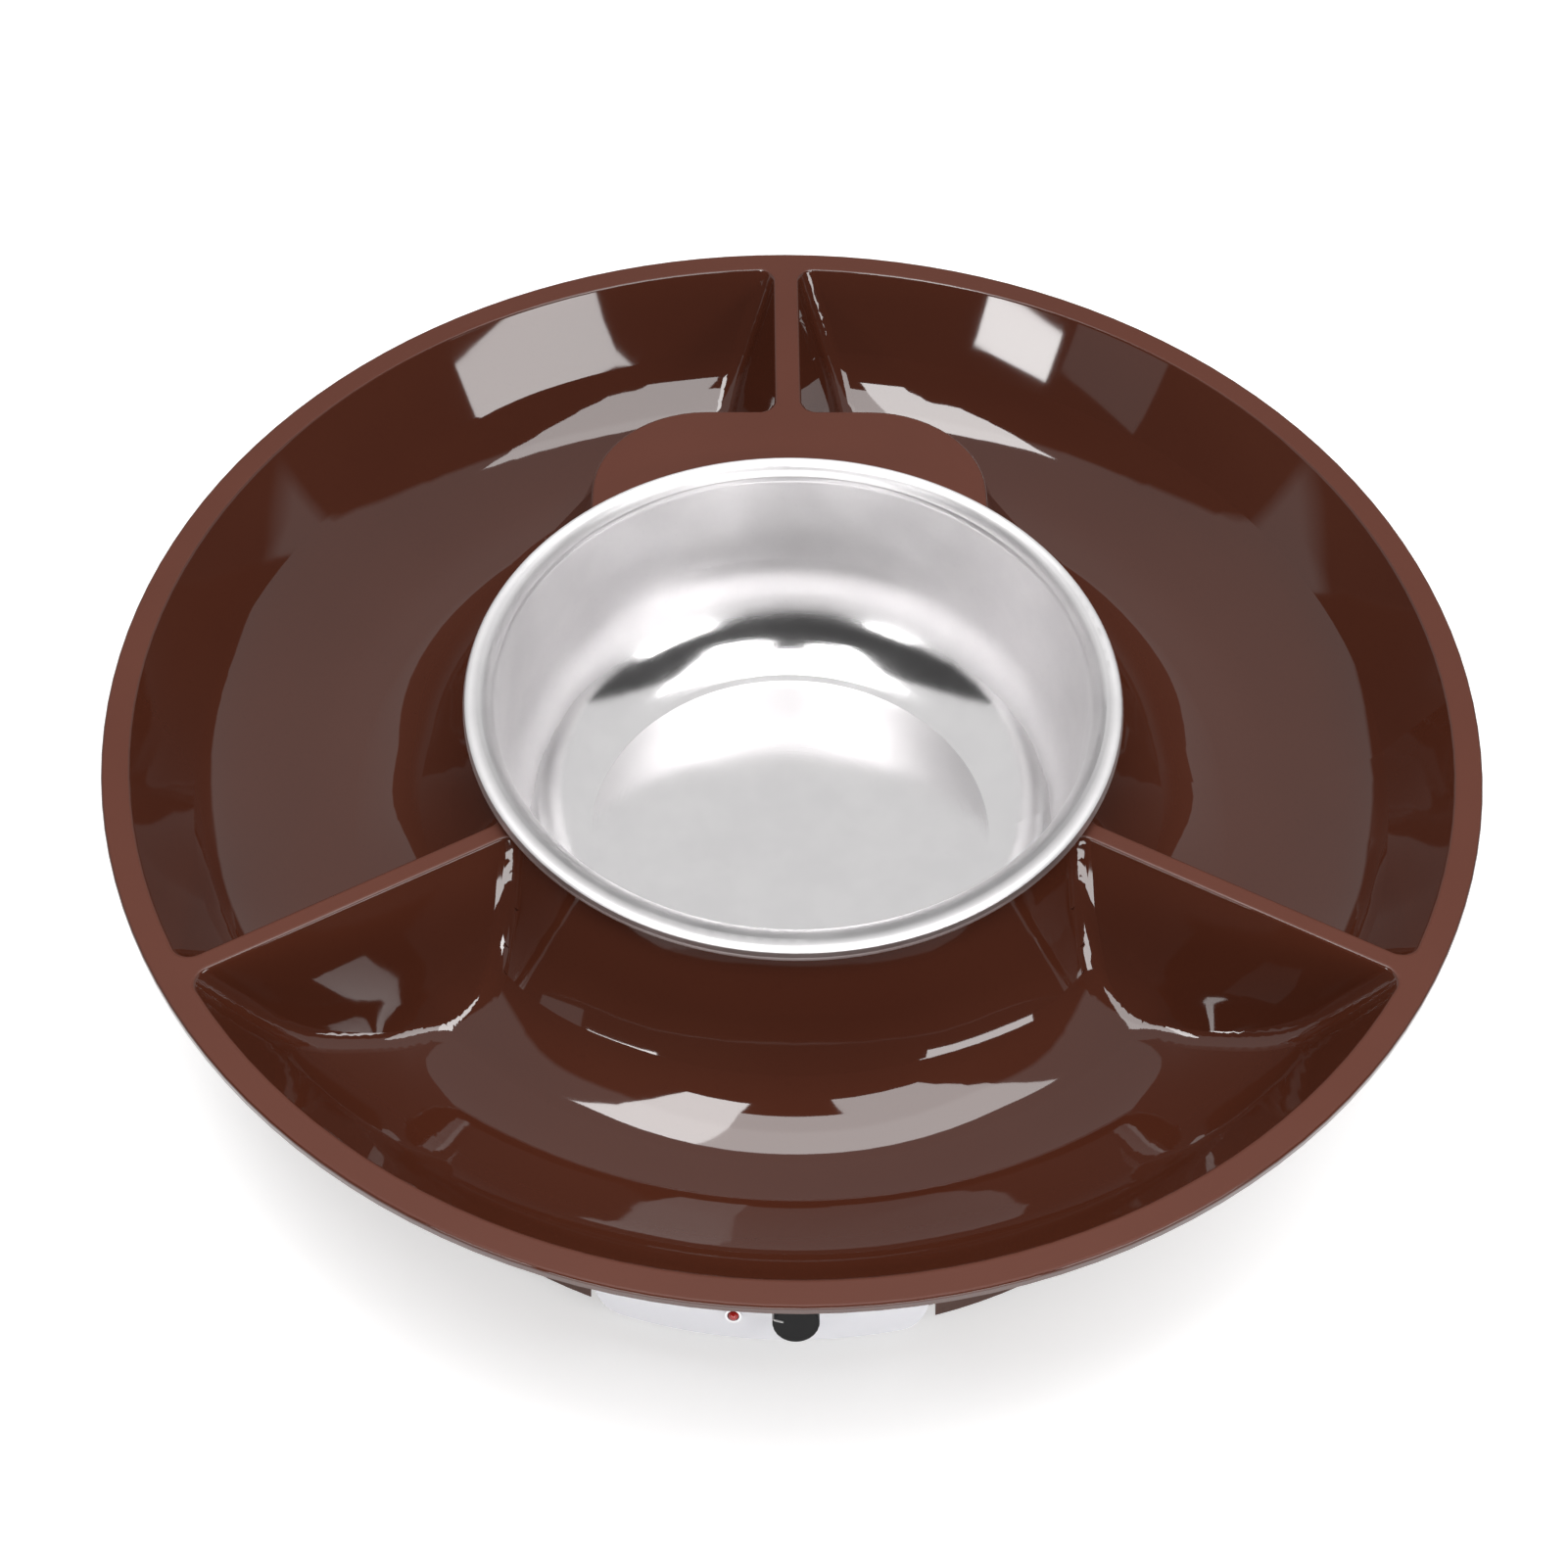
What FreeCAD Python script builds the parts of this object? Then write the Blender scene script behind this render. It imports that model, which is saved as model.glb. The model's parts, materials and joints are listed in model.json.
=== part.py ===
import FreeCAD, Part
import math
import os
import Sketcher

# Chocolate melting pot: a heated base carries a round serving tray, and a metal pot stands in
# the tray's hub on the heating plate. Z = 0 is the table, -Y is the front with the knob.

# Driving sizes in millimetres and degrees
SIZES = {
    # heights of the base
    "foot_height": 5.0,
    "deck_height": 33.8,
    "plate_rise": 2.2,
    # serving tray
    "tray_radius": 150.0,
    "tray_wall": 2.2,
    "tray_depth": 46.0,
    "rim_width": 6.0,
    "bowl_draft": 20.0,
    "bowl_round_share": 0.51,
    "hub_reach": 5.3,
    "hub_draft": 3.0,
    "hub_round_share": 0.215,
    "divider_width": 4.2,
    "back_divider_width": 6.0,
    "divider_draft": 10.0,
    "divider_angle": 30.0,
    "corner_round": 4.0,
    "edge_round": 0.8,
    "land_half_width": 46.0,
    "land_reach": 22.8,
    "land_round": 26.5,
    "core_drop": 6.0,
    "core_end_gap": 3.0,
    # melting pot
    "pot_wall": 1.0,
    "pot_depth": 51.0,
    "pot_floor_radius": 46.0,
    "pot_floor_slope": 17.0,
    "pot_body_spread": 18.2,
    "pot_mouth_flare": 1.0,
    "pot_knuckle": 24.0,
    "knuckle_share": 0.95,
    "pot_rim_width": 6.8,
    "pot_rim_drop": 3.4,
    "crest_gap": 0.4,
    # base housing
    "base_radius": 112.9,
    "base_slope": 22.0,
    "shell_wall": 2.2,
    "shoulder_round": 9.0,
    "plinth_gap": 0.6,
    "plinth_height": 12.2,
    "plinth_width": 4.8,
    "plinth_foot_round": 8.0,
    "plinth_edge_round": 1.4,
    "well_spread": 8.0,
    "well_rise": 0.8,
    "screw_reach": 12.5,
    "screw_angle": 15.0,
    "boss_radius": 4.0,
    "screw_radius": 1.5,
    "screw_head_radius": 3.0,
    "screw_head_height": 1.6,
    "screw_grip": 9.0,
    "screw_spare": 1.0,
    "thread_gap": 0.06,
    # bottom cover and feet
    "cover_wall": 2.0,
    "cover_gap": 0.3,
    "foot_inset": 15.9,
    "foot_radius": 7.0,
    "foot_stem_radius": 2.4,
    "foot_head_radius": 3.4,
    "foot_head_height": 1.6,
    "vent_length": 26.0,
    "vent_width": 3.0,
    "vent_round": 1.44,
    "vent_pitch": 8.0,
    "vent_count": 5,
    "vent_row": 22.0,
    # heater stack under the pot
    "plate_inset": 4.0,
    "plate_gap": 0.4,
    "flange_width": 6.0,
    "plate_flange": 2.0,
    "seal_height": 1.0,
    "element_inset": 6.0,
    "element_height": 1.2,
    "pad_height": 2.0,
    "shield_wall": 0.8,
    "shield_clear": 1.5,
    "shield_round": 1.2,
    "ear_reach": 8.0,
    "ear_radius": 5.0,
    "ear_round": 4.5,
    "shield_screw_radius": 1.5,
    "rib_half_width": 2.6,
    "rib_root": 3.3,
    "shield_screw_grip": 5.0,
    "pad_overlap": 0.5,
    "terminal_pitch": 16.0,
    "terminal_place": 24.0,
    "terminal_width": 4.0,
    "terminal_wall": 0.8,
    "terminal_length": 6.0,
    "terminal_gap": 0.8,
    "terminal_hold": 4.2,
    "thermostat_radius": 8.0,
    "thermostat_height": 7.0,
    "thermostat_neck": 1.75,
    "thermostat_neck_radius": 6.4,
    "thermostat_offset": 16.0,
    "fuse_radius": 2.2,
    "fuse_length": 16.0,
    "fuse_gap": 0.1,
    "fuse_offset": 18.0,
    "clamp_foot": 3.0,
    "clamp_wall": 0.6,
    "clamp_width": 6.0,
    "clamp_bend": 1.76,
    # control panel
    "panel_left": 43.4,
    "panel_right": 28.9,
    "panel_proud": 1.7,
    "panel_wall": 1.8,
    "panel_top": 27.0,
    "panel_corner": 6.0,
    "panel_lap": 3.0,
    "notch_gap_left": 0.6,
    "notch_gap_right": 1.5,
    "notch_gap_top": 0.4,
    "notch_round": 2.0,
    "lap_gap": 0.3,
    "lap_top": 0.6,
    "seat_depth": 3.2,
    "seat_gap": 0.03,
    "seat_margin": 1.0,
    # knob and switch
    "knob_height": 15.0,
    "knob_standoff": 8.0,
    "knob_radius": 5.0,
    "knob_lift": 0.5,
    "knob_flare": 1.6,
    "flute_radius": 0.5,
    "flute_depth": 0.18,
    "flute_count": 24,
    "pointer_angle": 164.0,
    "pointer_start": 2.7,
    "pointer_width": 0.5,
    "pointer_depth": 0.25,
    "knob_neck_radius": 4.3,
    "knob_edge": 0.6,
    "knob_wall": 1.4,
    "shaft_radius": 1.5,
    "shaft_flat": 1.0,
    "shaft_clearance": 0.05,
    "bush_radius": 2.6,
    "collar_radius": 5.4,
    "collar_height": 1.3,
    "switch_side": 9.2,
    "switch_depth": 5.5,
    "switch_floor": 1.0,
    "tab_width": 1.8,
    "tab_length": 3.6,
    "tab_wall": 0.5,
    # indicator lamp
    "lamp_height": 11.5,
    "lamp_angle": 6.7,
    "bezel_radius": 1.75,
    "bezel_bore": 1.3,
    "bezel_stem_radius": 1.6,
    "bezel_standoff": 1.6,
    "lamp_radius": 1.2,
    "lamp_standoff": 2.3,
    "lamp_tail": 1.0,
    "dome_round": 1.176,
    "bezel_tail": 0.5,
    "lamp_nut_radius": 3.0,
    "lamp_nut_height": 1.4,
    # cord gland and terminal block
    "gland_height": 17.0,
    "gland_bore": 3.1,
    "gland_radius": 4.4,
    "gland_neck_radius": 4.0,
    "gland_barb": 0.6,
    "gland_flange_radius": 6.2,
    "gland_flange": 1.8,
    "gland_groove_gap": 0.15,
    "gland_tail": 4.0,
    "block_length": 18.0,
    "block_width": 10.0,
    "block_height": 8.0,
    "block_inset": 38.9,
    "block_way_height": 10.5,
    "block_way_radius": 1.3,
    "lead_radius": 0.9,
    "lead_gap": 0.1,
    "lead_height": 10.5,
    "lead_bend": 3.5,
    "lead_exit": 50.0,
    "lead_side": 55.0,
    "lead_turn": 20.0,
    "lamp_lead_radius": 0.5,
    "lamp_lead_gap": 0.1,
    "lamp_lead_spread": 2.0,
}

# Sizes that keep a named distance from another one
LINKED = {
    "pot_body_radius": "pot_floor_radius + pot_body_spread",
    "pot_mouth_radius": "pot_body_radius + pot_mouth_flare",
    "pot_rim_radius": "pot_mouth_radius + pot_rim_width",
    "hub_radius": "pot_body_radius + hub_reach",
    "land_back": "hub_radius + land_reach",
    "channel_width": "tray_radius - rim_width - hub_radius",
    "bowl_round": "channel_width * bowl_round_share",
    "hub_round": "channel_width * hub_round_share",
    "well_radius": "pot_floor_radius + well_spread",
    "plate_radius": "pot_floor_radius - plate_inset",
    "plate_flange_radius": "plate_radius + flange_width",
    "element_radius": "plate_radius - element_inset",
    "ear_circle": "plate_flange_radius + ear_reach",
    "screw_circle": "hub_radius + screw_reach",
    "foot_circle": "base_radius - foot_inset",
    "block_place": "base_radius - block_inset",
}

doc = FreeCAD.newDocument("melting_pot")
sheet = doc.addObject("Spreadsheet::Sheet", "d")
cells = {alias: str(size) for alias, size in SIZES.items()}
cells.update({alias: "=" + text for alias, text in LINKED.items()})
for row, (alias, text) in enumerate(cells.items(), start=1):
    sheet.set(f"A{row}", alias)
    sheet.set(f"B{row}", text)
    sheet.setAlias(f"B{row}", alias)
doc.recompute()

# Heights and radii that follow from the driving sizes
DECK = "d.deck_height"
TRAY_FLOOR = "(d.deck_height + d.tray_wall)"
TRAY_TOP = "(d.deck_height + d.tray_wall + d.tray_depth)"
PLATE_TOP = "(d.deck_height + d.plate_rise)"
POT_FLOOR = f"({PLATE_TOP} + d.pot_wall)"
POT_TOP = f"({POT_FLOOR} + d.pot_depth)"
COVER_TOP = "(d.foot_height + d.cover_wall)"
DECK_UNDER = "(d.deck_height - d.shell_wall)"
WELL_FLOOR = "(d.deck_height + d.well_rise)"
WELL_UNDER = f"({WELL_FLOOR} - d.shell_wall)"
PLINTH_TOP = "(d.deck_height + d.plinth_height)"
FLANGE_TOP = f"({WELL_UNDER} - d.seal_height)"
PLATE_UNDER = f"({FLANGE_TOP} - d.plate_flange)"
ELEMENT_UNDER = f"({PLATE_UNDER} - d.element_height)"
PAD_UNDER = f"({ELEMENT_UNDER} - d.pad_height)"
SHIELD_UNDER = f"({PAD_UNDER} - d.shield_wall)"
SLOPE = "tan(d.base_slope)"
WALL_ACROSS = "(d.shell_wall / cos(d.base_slope))"
PANEL_RADIUS = "(d.base_radius + d.panel_proud)"
HUB_WALL_ACROSS = "(d.tray_wall / cos(d.hub_draft))"
SKETCH_LEAST = 1e-6
LEVEL_TOLERANCE = 0.01
SHARP_ANGLE = 20.0
TUBE_TOLERANCE = 0.01


def number(text):
    """The value of an expression in millimetres or degrees."""
    value = sheet.evalExpression(text)
    return float(getattr(value, "Value", value))


def vector(x, y, z=0.0):
    return FreeCAD.Vector(x, y, z)


# Sketches, bodies and features

def make_body(name):
    return doc.addObject("PartDesign::Body", name)


def add_sketch(body, name, plane, lift=None):
    """A sketch on one of the body's own origin planes, lifted along the plane's normal."""
    sketch = body.newObject("Sketcher::SketchObject", name)
    support = [item for item in body.Origin.OriginFeatures if item.Role == plane][0]
    sketch.AttachmentSupport = (support, "")
    sketch.MapMode = "FlatFace"
    if lift is not None:
        sketch.setExpression("AttachmentOffset.Base.z", lift)
    return sketch


def bind(sketch, kind, references, text):
    index = sketch.addConstraint(Sketcher.Constraint(kind, *references, number(text)))
    sketch.setExpression(f"Constraints[{index}]", text)


def place_point(sketch, geometry, end, x_text, y_text):
    bind(sketch, "DistanceX", (geometry, end), x_text)
    bind(sketch, "DistanceY", (geometry, end), y_text)


def round_points(before, corner, after, radius):
    """Start, middle and end of the round of a corner."""
    to_before = (before - corner).normalize()
    to_after = (after - corner).normalize()
    half = to_before.getAngle(to_after) / 2
    reach = radius / math.tan(half)
    centre = corner + (to_before + to_after).normalize() * (radius / math.sin(half))
    middle = centre + (corner - centre).normalize() * radius
    return corner + to_before * reach, middle, corner + to_after * reach


def draw_outline(sketch, corners):
    """A closed outline. A corner is (x, y) in texts, with a radius as third text if it is round."""
    points = [vector(number(corner[0]), number(corner[1])) for corner in corners]
    count = len(corners)
    starts, ends, middles = list(points), list(points), {}
    for index, corner in enumerate(corners):
        if len(corner) == 3:
            before, after = points[index - 1], points[(index + 1) % count]
            rounds = round_points(before, points[index], after, number(corner[2]))
            ends[index], middles[index], starts[index] = rounds
    lines = []
    for index in range(count):
        line = Part.LineSegment(starts[index], ends[(index + 1) % count])
        lines.append(sketch.addGeometry(line, False))
    for index, corner in enumerate(corners):
        before, after = lines[index - 1], lines[index]
        if index not in middles:
            sketch.addConstraint(Sketcher.Constraint("Coincident", before, 2, after, 1))
            place_point(sketch, after, 1, corner[0], corner[1])
            continue
        arc = Part.Arc(ends[index], middles[index], starts[index])
        arc_id = sketch.addGeometry(arc, False)
        first_end = 1 if (sketch.getPoint(arc_id, 1) - ends[index]).Length < SKETCH_LEAST else 2
        peak = sketch.addGeometry(Part.Point(points[index]), True)
        sketch.addConstraint([
            Sketcher.Constraint("Tangent", before, 2, arc_id, first_end),
            Sketcher.Constraint("Tangent", after, 1, arc_id, 3 - first_end),
            Sketcher.Constraint("PointOnObject", peak, 1, before),
            Sketcher.Constraint("PointOnObject", peak, 1, after),
        ])
        bind(sketch, "Radius", (arc_id,), corner[2])
        place_point(sketch, peak, 1, corner[0], corner[1])


def draw_circle(sketch, x_text, y_text, radius_text):
    circle = Part.Circle(vector(number(x_text), number(y_text)), vector(0, 0, 1), number(radius_text))
    circle_id = sketch.addGeometry(circle, False)
    bind(sketch, "Radius", (circle_id,), radius_text)
    place_point(sketch, circle_id, 3, x_text, y_text)


def revolve(body, name, corners, kind="PartDesign::Revolution"):
    """An outline of (radius, height) corners turned round the body's Z axis."""
    sketch = add_sketch(body, name + "_section", "XZ_Plane")
    draw_outline(sketch, corners)
    feature = body.newObject(kind, name)
    feature.Profile = sketch
    feature.ReferenceAxis = (sketch, ["V_Axis"])
    feature.Angle = 360.0
    return feature


def extrude(body, name, sketch, length, kind="PartDesign::Pad", back=False, taper=None):
    feature = body.newObject(kind, name)
    feature.Profile = sketch
    feature.setExpression("Length", length)
    feature.Reversed = back
    if taper is not None:
        feature.setExpression("TaperAngle", taper)
    return feature


def through_pocket(body, name, sketch, back=False):
    feature = body.newObject("PartDesign::Pocket", name)
    feature.Profile = sketch
    feature.Type = "ThroughAll"
    feature.Reversed = back
    return feature


def ring_of(body, name, features, count):
    """The features repeated round the Z axis."""
    pattern = body.newObject("PartDesign::PolarPattern", name)
    pattern.Originals = features
    axis = [item for item in body.Origin.OriginFeatures if item.Role == "Z_Axis"][0]
    pattern.Axis = (axis, [""])
    pattern.Angle = 360.0
    pattern.Occurrences = count
    body.Tip = pattern
    return pattern


def mirror_x(body, name, features):
    """The features repeated on the other side of the YZ plane."""
    pattern = body.newObject("PartDesign::Mirrored", name)
    pattern.Originals = features
    plane = [item for item in body.Origin.OriginFeatures if item.Role == "YZ_Plane"][0]
    pattern.MirrorPlane = (plane, [""])
    body.Tip = pattern
    return pattern


def round_edges(body, name, base, wanted, radius):
    """A fillet on the edges of base that the test accepts."""
    doc.recompute()
    shape = base.Shape
    names = [f"Edge{n}" for n, edge in enumerate(shape.Edges, start=1) if wanted(shape, edge)]
    fillet = body.newObject("PartDesign::Fillet", name)
    fillet.Base = (base, names)
    fillet.setExpression("Radius", radius)
    return fillet


def boolean(kind, name, base, tool):
    feature = doc.addObject("Part::" + kind, name)
    feature.Base = base
    feature.Tool = tool
    return feature


def fuse_all(name, shapes):
    feature = doc.addObject("Part::MultiFuse", name)
    feature.Shapes = shapes
    return feature


finished = []


def finish(feature, label):
    """Marks a feature or body as a finished piece with its node name."""
    feature.Label = label
    finished.append(feature)
    return feature


def bar_corners(angle, inner, outer, half_width):
    """Corners of a radial bar on the XY plane, at an angle from +X."""
    corners = []
    for reach, side in ((inner, "-1"), (outer, "-1"), (outer, "1"), (inner, "1")):
        x_text = f"{reach} * cos({angle}) - {side} * ({half_width}) * sin({angle})"
        y_text = f"{reach} * sin({angle}) + {side} * ({half_width}) * cos({angle})"
        corners.append((x_text, y_text))
    return corners


# Serving tray: one moulding of even wall, open from below under its dividers and land

def bowl_radius_at(depth):
    """Inner radius of the bowl's drafted wall at a depth under the rim."""
    return f"(d.tray_radius - d.rim_width - ({depth}) * tan(d.bowl_draft))"


def hub_radius_at(depth):
    """Outer radius of the hub's drafted wall at a depth under the rim."""
    return f"(d.hub_radius + ({depth}) * tan(d.hub_draft))"


def make_tray_blank():
    body = make_body("tray_blank")
    across = "d.tray_wall / cos(d.bowl_draft)"
    full = "(d.tray_depth + d.tray_wall)"
    revolve(body, "tray_form", [
        (f"{hub_radius_at('0')} - {HUB_WALL_ACROSS}", TRAY_TOP),
        (f"{hub_radius_at(full)} - {HUB_WALL_ACROSS}", DECK, "d.hub_round + d.tray_wall"),
        (f"{bowl_radius_at(full)} + {across}", DECK, "d.bowl_round + d.tray_wall"),
        (f"{bowl_radius_at('d.tray_wall')} + {across}", f"{TRAY_TOP} - d.tray_wall"),
        ("d.tray_radius", f"{TRAY_TOP} - d.tray_wall"),
        ("d.tray_radius", TRAY_TOP),
    ])
    return body


def draw_land(sketch, half_width, back, corner):
    """The land behind the pot: a bar with two large round corners."""
    draw_outline(sketch, [
        (f"-({half_width})", "0"),
        (half_width, "0"),
        (half_width, back, corner),
        (f"-({half_width})", back, corner),
    ])


def add_dividers(body, kind, level, depth, halves, land):
    """Three drafted dividers and the land, as pads or as pockets that go down from a level."""
    reach = ("(d.hub_radius - d.tray_depth / 2)", "(d.tray_radius + d.tray_depth / 2)")
    back = add_sketch(body, "back_divider_plan", "XY_Plane", level)
    draw_outline(back, bar_corners("90", reach[0], reach[1], halves[1]))
    extrude(body, "back_divider", back, depth, kind, kind.endswith("Pad"), "d.divider_draft")
    front = add_sketch(body, "front_divider_plan", "XY_Plane", level)
    draw_outline(front, bar_corners("-d.divider_angle", reach[0], reach[1], halves[0]))
    side = extrude(body, "front_divider", front, depth, kind, kind.endswith("Pad"), "d.divider_draft")
    mirror_x(body, "other_front_divider", [side])
    plan = add_sketch(body, "land_plan", "XY_Plane", level)
    draw_land(plan, *land)
    return extrude(body, "land", plan, depth, kind, kind.endswith("Pad"), "d.divider_draft")


def is_sharp(shape, edge):
    """True where the two faces of an edge meet at a clear angle."""
    faces = shape.ancestorsOfType(edge, Part.Face)
    if len(faces) != 2:
        return False
    middle = edge.valueAt((edge.FirstParameter + edge.LastParameter) / 2)
    normals = [face.normalAt(*face.Surface.parameter(middle)) for face in faces]
    return normals[0].getAngle(normals[1]) > math.radians(SHARP_ANGLE)


def make_compartments():
    """The space of the three compartments, with its upright corners rounded."""
    body = make_body("compartments")
    revolve(body, "channel", [
        (hub_radius_at("0"), TRAY_TOP),
        (hub_radius_at("d.tray_depth"), TRAY_FLOOR, "d.hub_round"),
        (bowl_radius_at("d.tray_depth"), TRAY_FLOOR, "d.bowl_round"),
        (bowl_radius_at("0"), TRAY_TOP),
    ])
    land = ("d.land_half_width", "d.land_back", "d.land_round")
    halves = ("d.divider_width / 2", "d.back_divider_width / 2")
    last = add_dividers(body, "PartDesign::Pocket", TRAY_TOP, "d.tray_depth + d.tray_wall", halves, land)
    doc.recompute()
    top = number(TRAY_TOP)
    round_edges(body, "corner_rounds", last, lambda shape, edge: (
        edge.BoundBox.ZMin < top - LEVEL_TOLERANCE and is_sharp(shape, edge)), "d.corner_round")
    return body


def make_tray_cores():
    """The hollows under the dividers and the land, kept clear of the hub and the bowl."""
    body = make_body("core_pads")
    drop = "d.core_drop"
    inset = "(d.tray_wall / cos(d.divider_draft) - d.core_drop * tan(d.divider_draft))"
    halves = (f"d.divider_width / 2 - {inset}", f"d.back_divider_width / 2 - {inset}")
    land = (f"d.land_half_width - {inset}", f"d.land_back - {inset}", "d.land_round")
    level = f"{TRAY_TOP} - {drop}"
    add_dividers(body, "PartDesign::Pad", level, "d.tray_depth", halves, land)
    limit = make_body("core_limit")
    low = "(d.deck_height - d.core_end_gap)"
    revolve(limit, "core_limit_form", [
        (f"{hub_radius_at(drop)} + d.core_end_gap", level),
        (f"{hub_radius_at('d.tray_depth')} + d.hub_round", low),
        (f"{bowl_radius_at('d.tray_depth')} - d.bowl_round * tan(45 - d.bowl_draft / 2)", low),
        (f"{bowl_radius_at(drop)} - d.core_end_gap", level),
    ])
    return boolean("Common", "tray_cores", body, limit)


def make_serving_tray():
    open_top = boolean("Cut", "tray_with_compartments", make_tray_blank(), make_compartments())
    moulding = boolean("Cut", "tray_moulding", open_top, make_tray_cores())
    doc.recompute()
    top = number(TRAY_TOP)
    shape = moulding.Shape
    rim_edges = [n for n, edge in enumerate(shape.Edges, start=1)
                 if edge.BoundBox.ZMin > top - LEVEL_TOLERANCE and is_sharp(shape, edge)]
    tray = doc.addObject("Part::Fillet", "tray_rounds")
    tray.Base = moulding
    size = number("d.edge_round")
    tray.Edges = [(n, size, size) for n in rim_edges]
    return finish(tray, "serving_tray")


# Melting pot: one pressed bowl with a rolled rim

def make_melting_pot():
    body = make_body("melting_pot")
    rise = "tan(d.pot_floor_slope)"
    lean = "cos(d.pot_floor_slope)"
    outer_body = "(d.pot_body_radius + d.pot_wall)"
    outer_floor = f"(d.pot_floor_radius + (1 / {lean} - 1) * d.pot_wall / {rise})"
    corner = f"({POT_FLOOR} + (d.pot_body_radius - d.pot_floor_radius) * {rise})"
    outer_corner = f"({PLATE_TOP} + ({outer_body} - {outer_floor}) * {rise})"
    room = f"(d.pot_body_radius - d.pot_floor_radius) / {lean} * tan(45 + d.pot_floor_slope / 2)"
    knuckle = f"min(d.pot_knuckle; {room} * d.knuckle_share)"
    crest = "(d.pot_rim_drop - d.crest_gap)"
    revolve(body, "pot_form", [
        ("0", PLATE_TOP),
        (outer_floor, PLATE_TOP),
        (outer_body, outer_corner, f"{knuckle} + d.pot_wall"),
        ("d.pot_mouth_radius + d.pot_wall", f"{POT_TOP} - d.pot_wall", f"{crest} - d.pot_wall"),
        ("d.pot_rim_radius - d.pot_wall", f"{POT_TOP} - d.pot_wall", f"{crest} - d.pot_wall"),
        ("d.pot_rim_radius - d.pot_wall", f"{POT_TOP} - d.pot_rim_drop"),
        ("d.pot_rim_radius", f"{POT_TOP} - d.pot_rim_drop"),
        ("d.pot_rim_radius", POT_TOP, crest),
        ("d.pot_mouth_radius", POT_TOP, crest),
        ("d.pot_body_radius", corner, knuckle),
        ("d.pot_floor_radius", POT_FLOOR),
        ("0", POT_FLOOR),
    ])
    return finish(body, "melting_pot")


# Base housing: brown shell with a deck for the tray, a plinth in the hub and a well for the pot

def base_radius_at(height):
    """Outer radius of the housing's sloped wall at a height above the table."""
    return f"(d.base_radius - ({height} - d.foot_height) * {SLOPE})"


def plinth_radius_at(height):
    """Outer radius of the plinth, which follows the inside of the tray's hub."""
    depth = f"({TRAY_TOP} - {height})"
    return f"({hub_radius_at(depth)} - {HUB_WALL_ACROSS} - d.plinth_gap)"


def ring_spot(circle, angle):
    return f"{circle} * cos({angle})", f"{circle} * sin({angle})"


def post(body, name, low, height, circle, radius, kind="PartDesign::Pad", up=True, angle="45"):
    """A round post or hole that starts at a height, on a circle at an angle."""
    sketch = add_sketch(body, name + "_plan", "XY_Plane", low)
    x_text, y_text = ring_spot(circle, angle)
    draw_circle(sketch, x_text, y_text, radius)
    back = not up if kind.endswith("Pad") else up
    return extrude(body, name, sketch, height, kind, back)


def make_housing_body():
    body = make_body("housing_shell")
    plinth_inner = f"({plinth_radius_at(PLINTH_TOP)} - d.plinth_width)"
    hollow_top = f"({PLINTH_TOP} - 2 * d.shell_wall)"
    opening = "(d.plate_radius + d.plate_gap)"
    rib_inner = "(d.ear_circle - d.rib_half_width)"
    rib_outer = "(d.ear_circle + d.rib_half_width)"
    revolve(body, "housing_form", [
        ("d.base_radius", "d.foot_height"),
        (base_radius_at(DECK), DECK, "d.shoulder_round"),
        (plinth_radius_at(DECK), DECK, "d.plinth_foot_round"),
        (plinth_radius_at(PLINTH_TOP), PLINTH_TOP, "d.plinth_edge_round"),
        (plinth_inner, PLINTH_TOP, "d.plinth_edge_round"),
        ("d.well_radius", WELL_FLOOR),
        (opening, WELL_FLOOR),
        (opening, WELL_UNDER),
        (rib_inner, WELL_UNDER),
        (rib_inner, PLATE_UNDER),
        (rib_outer, PLATE_UNDER),
        (rib_outer, f"{WELL_UNDER} + d.rib_root"),
        (plinth_inner, hollow_top),
        (f"{plinth_radius_at(hollow_top)} - d.shell_wall", hollow_top),
        (f"{plinth_radius_at(DECK_UNDER)} - d.shell_wall", DECK_UNDER, "d.plinth_foot_round"),
        (f"{base_radius_at(DECK_UNDER)} - {WALL_ACROSS}", DECK_UNDER, "d.shoulder_round - d.shell_wall"),
        (f"d.base_radius - {WALL_ACROSS}", "d.foot_height"),
    ])
    notch = add_sketch(body, "panel_notch_plan", "XZ_Plane")
    below = "(d.foot_height - d.cover_wall)"
    left, right = "-(d.panel_left + d.notch_gap_left)", "(d.panel_right + d.notch_gap_right)"
    top = "(d.panel_top + d.notch_gap_top)"
    draw_outline(notch, [
        (left, below),
        (right, below),
        (right, top, "d.notch_round"),
        (left, top, "d.notch_round"),
    ])
    through_pocket(body, "panel_notch", notch, True)
    height = f"{DECK_UNDER} + d.shell_wall / 2 - {COVER_TOP}"
    boss = post(body, "screw_boss", COVER_TOP, height, "d.screw_circle", "d.boss_radius",
                angle="d.screw_angle")
    ring_of(body, "screw_bosses", [boss], 4)
    hole = "d.screw_radius + d.thread_gap"
    pilot = post(body, "boss_hole", COVER_TOP, "d.screw_grip", "d.screw_circle", hole,
                 "PartDesign::Pocket", angle="d.screw_angle")
    ring_of(body, "boss_holes", [pilot], 4)
    shield_hole = post(body, "rib_hole", PLATE_UNDER, "d.shield_screw_grip", "d.ear_circle", hole,
                       "PartDesign::Pocket", True, "0")
    ring_of(body, "rib_holes", [shield_hole], 3)
    return body


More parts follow.
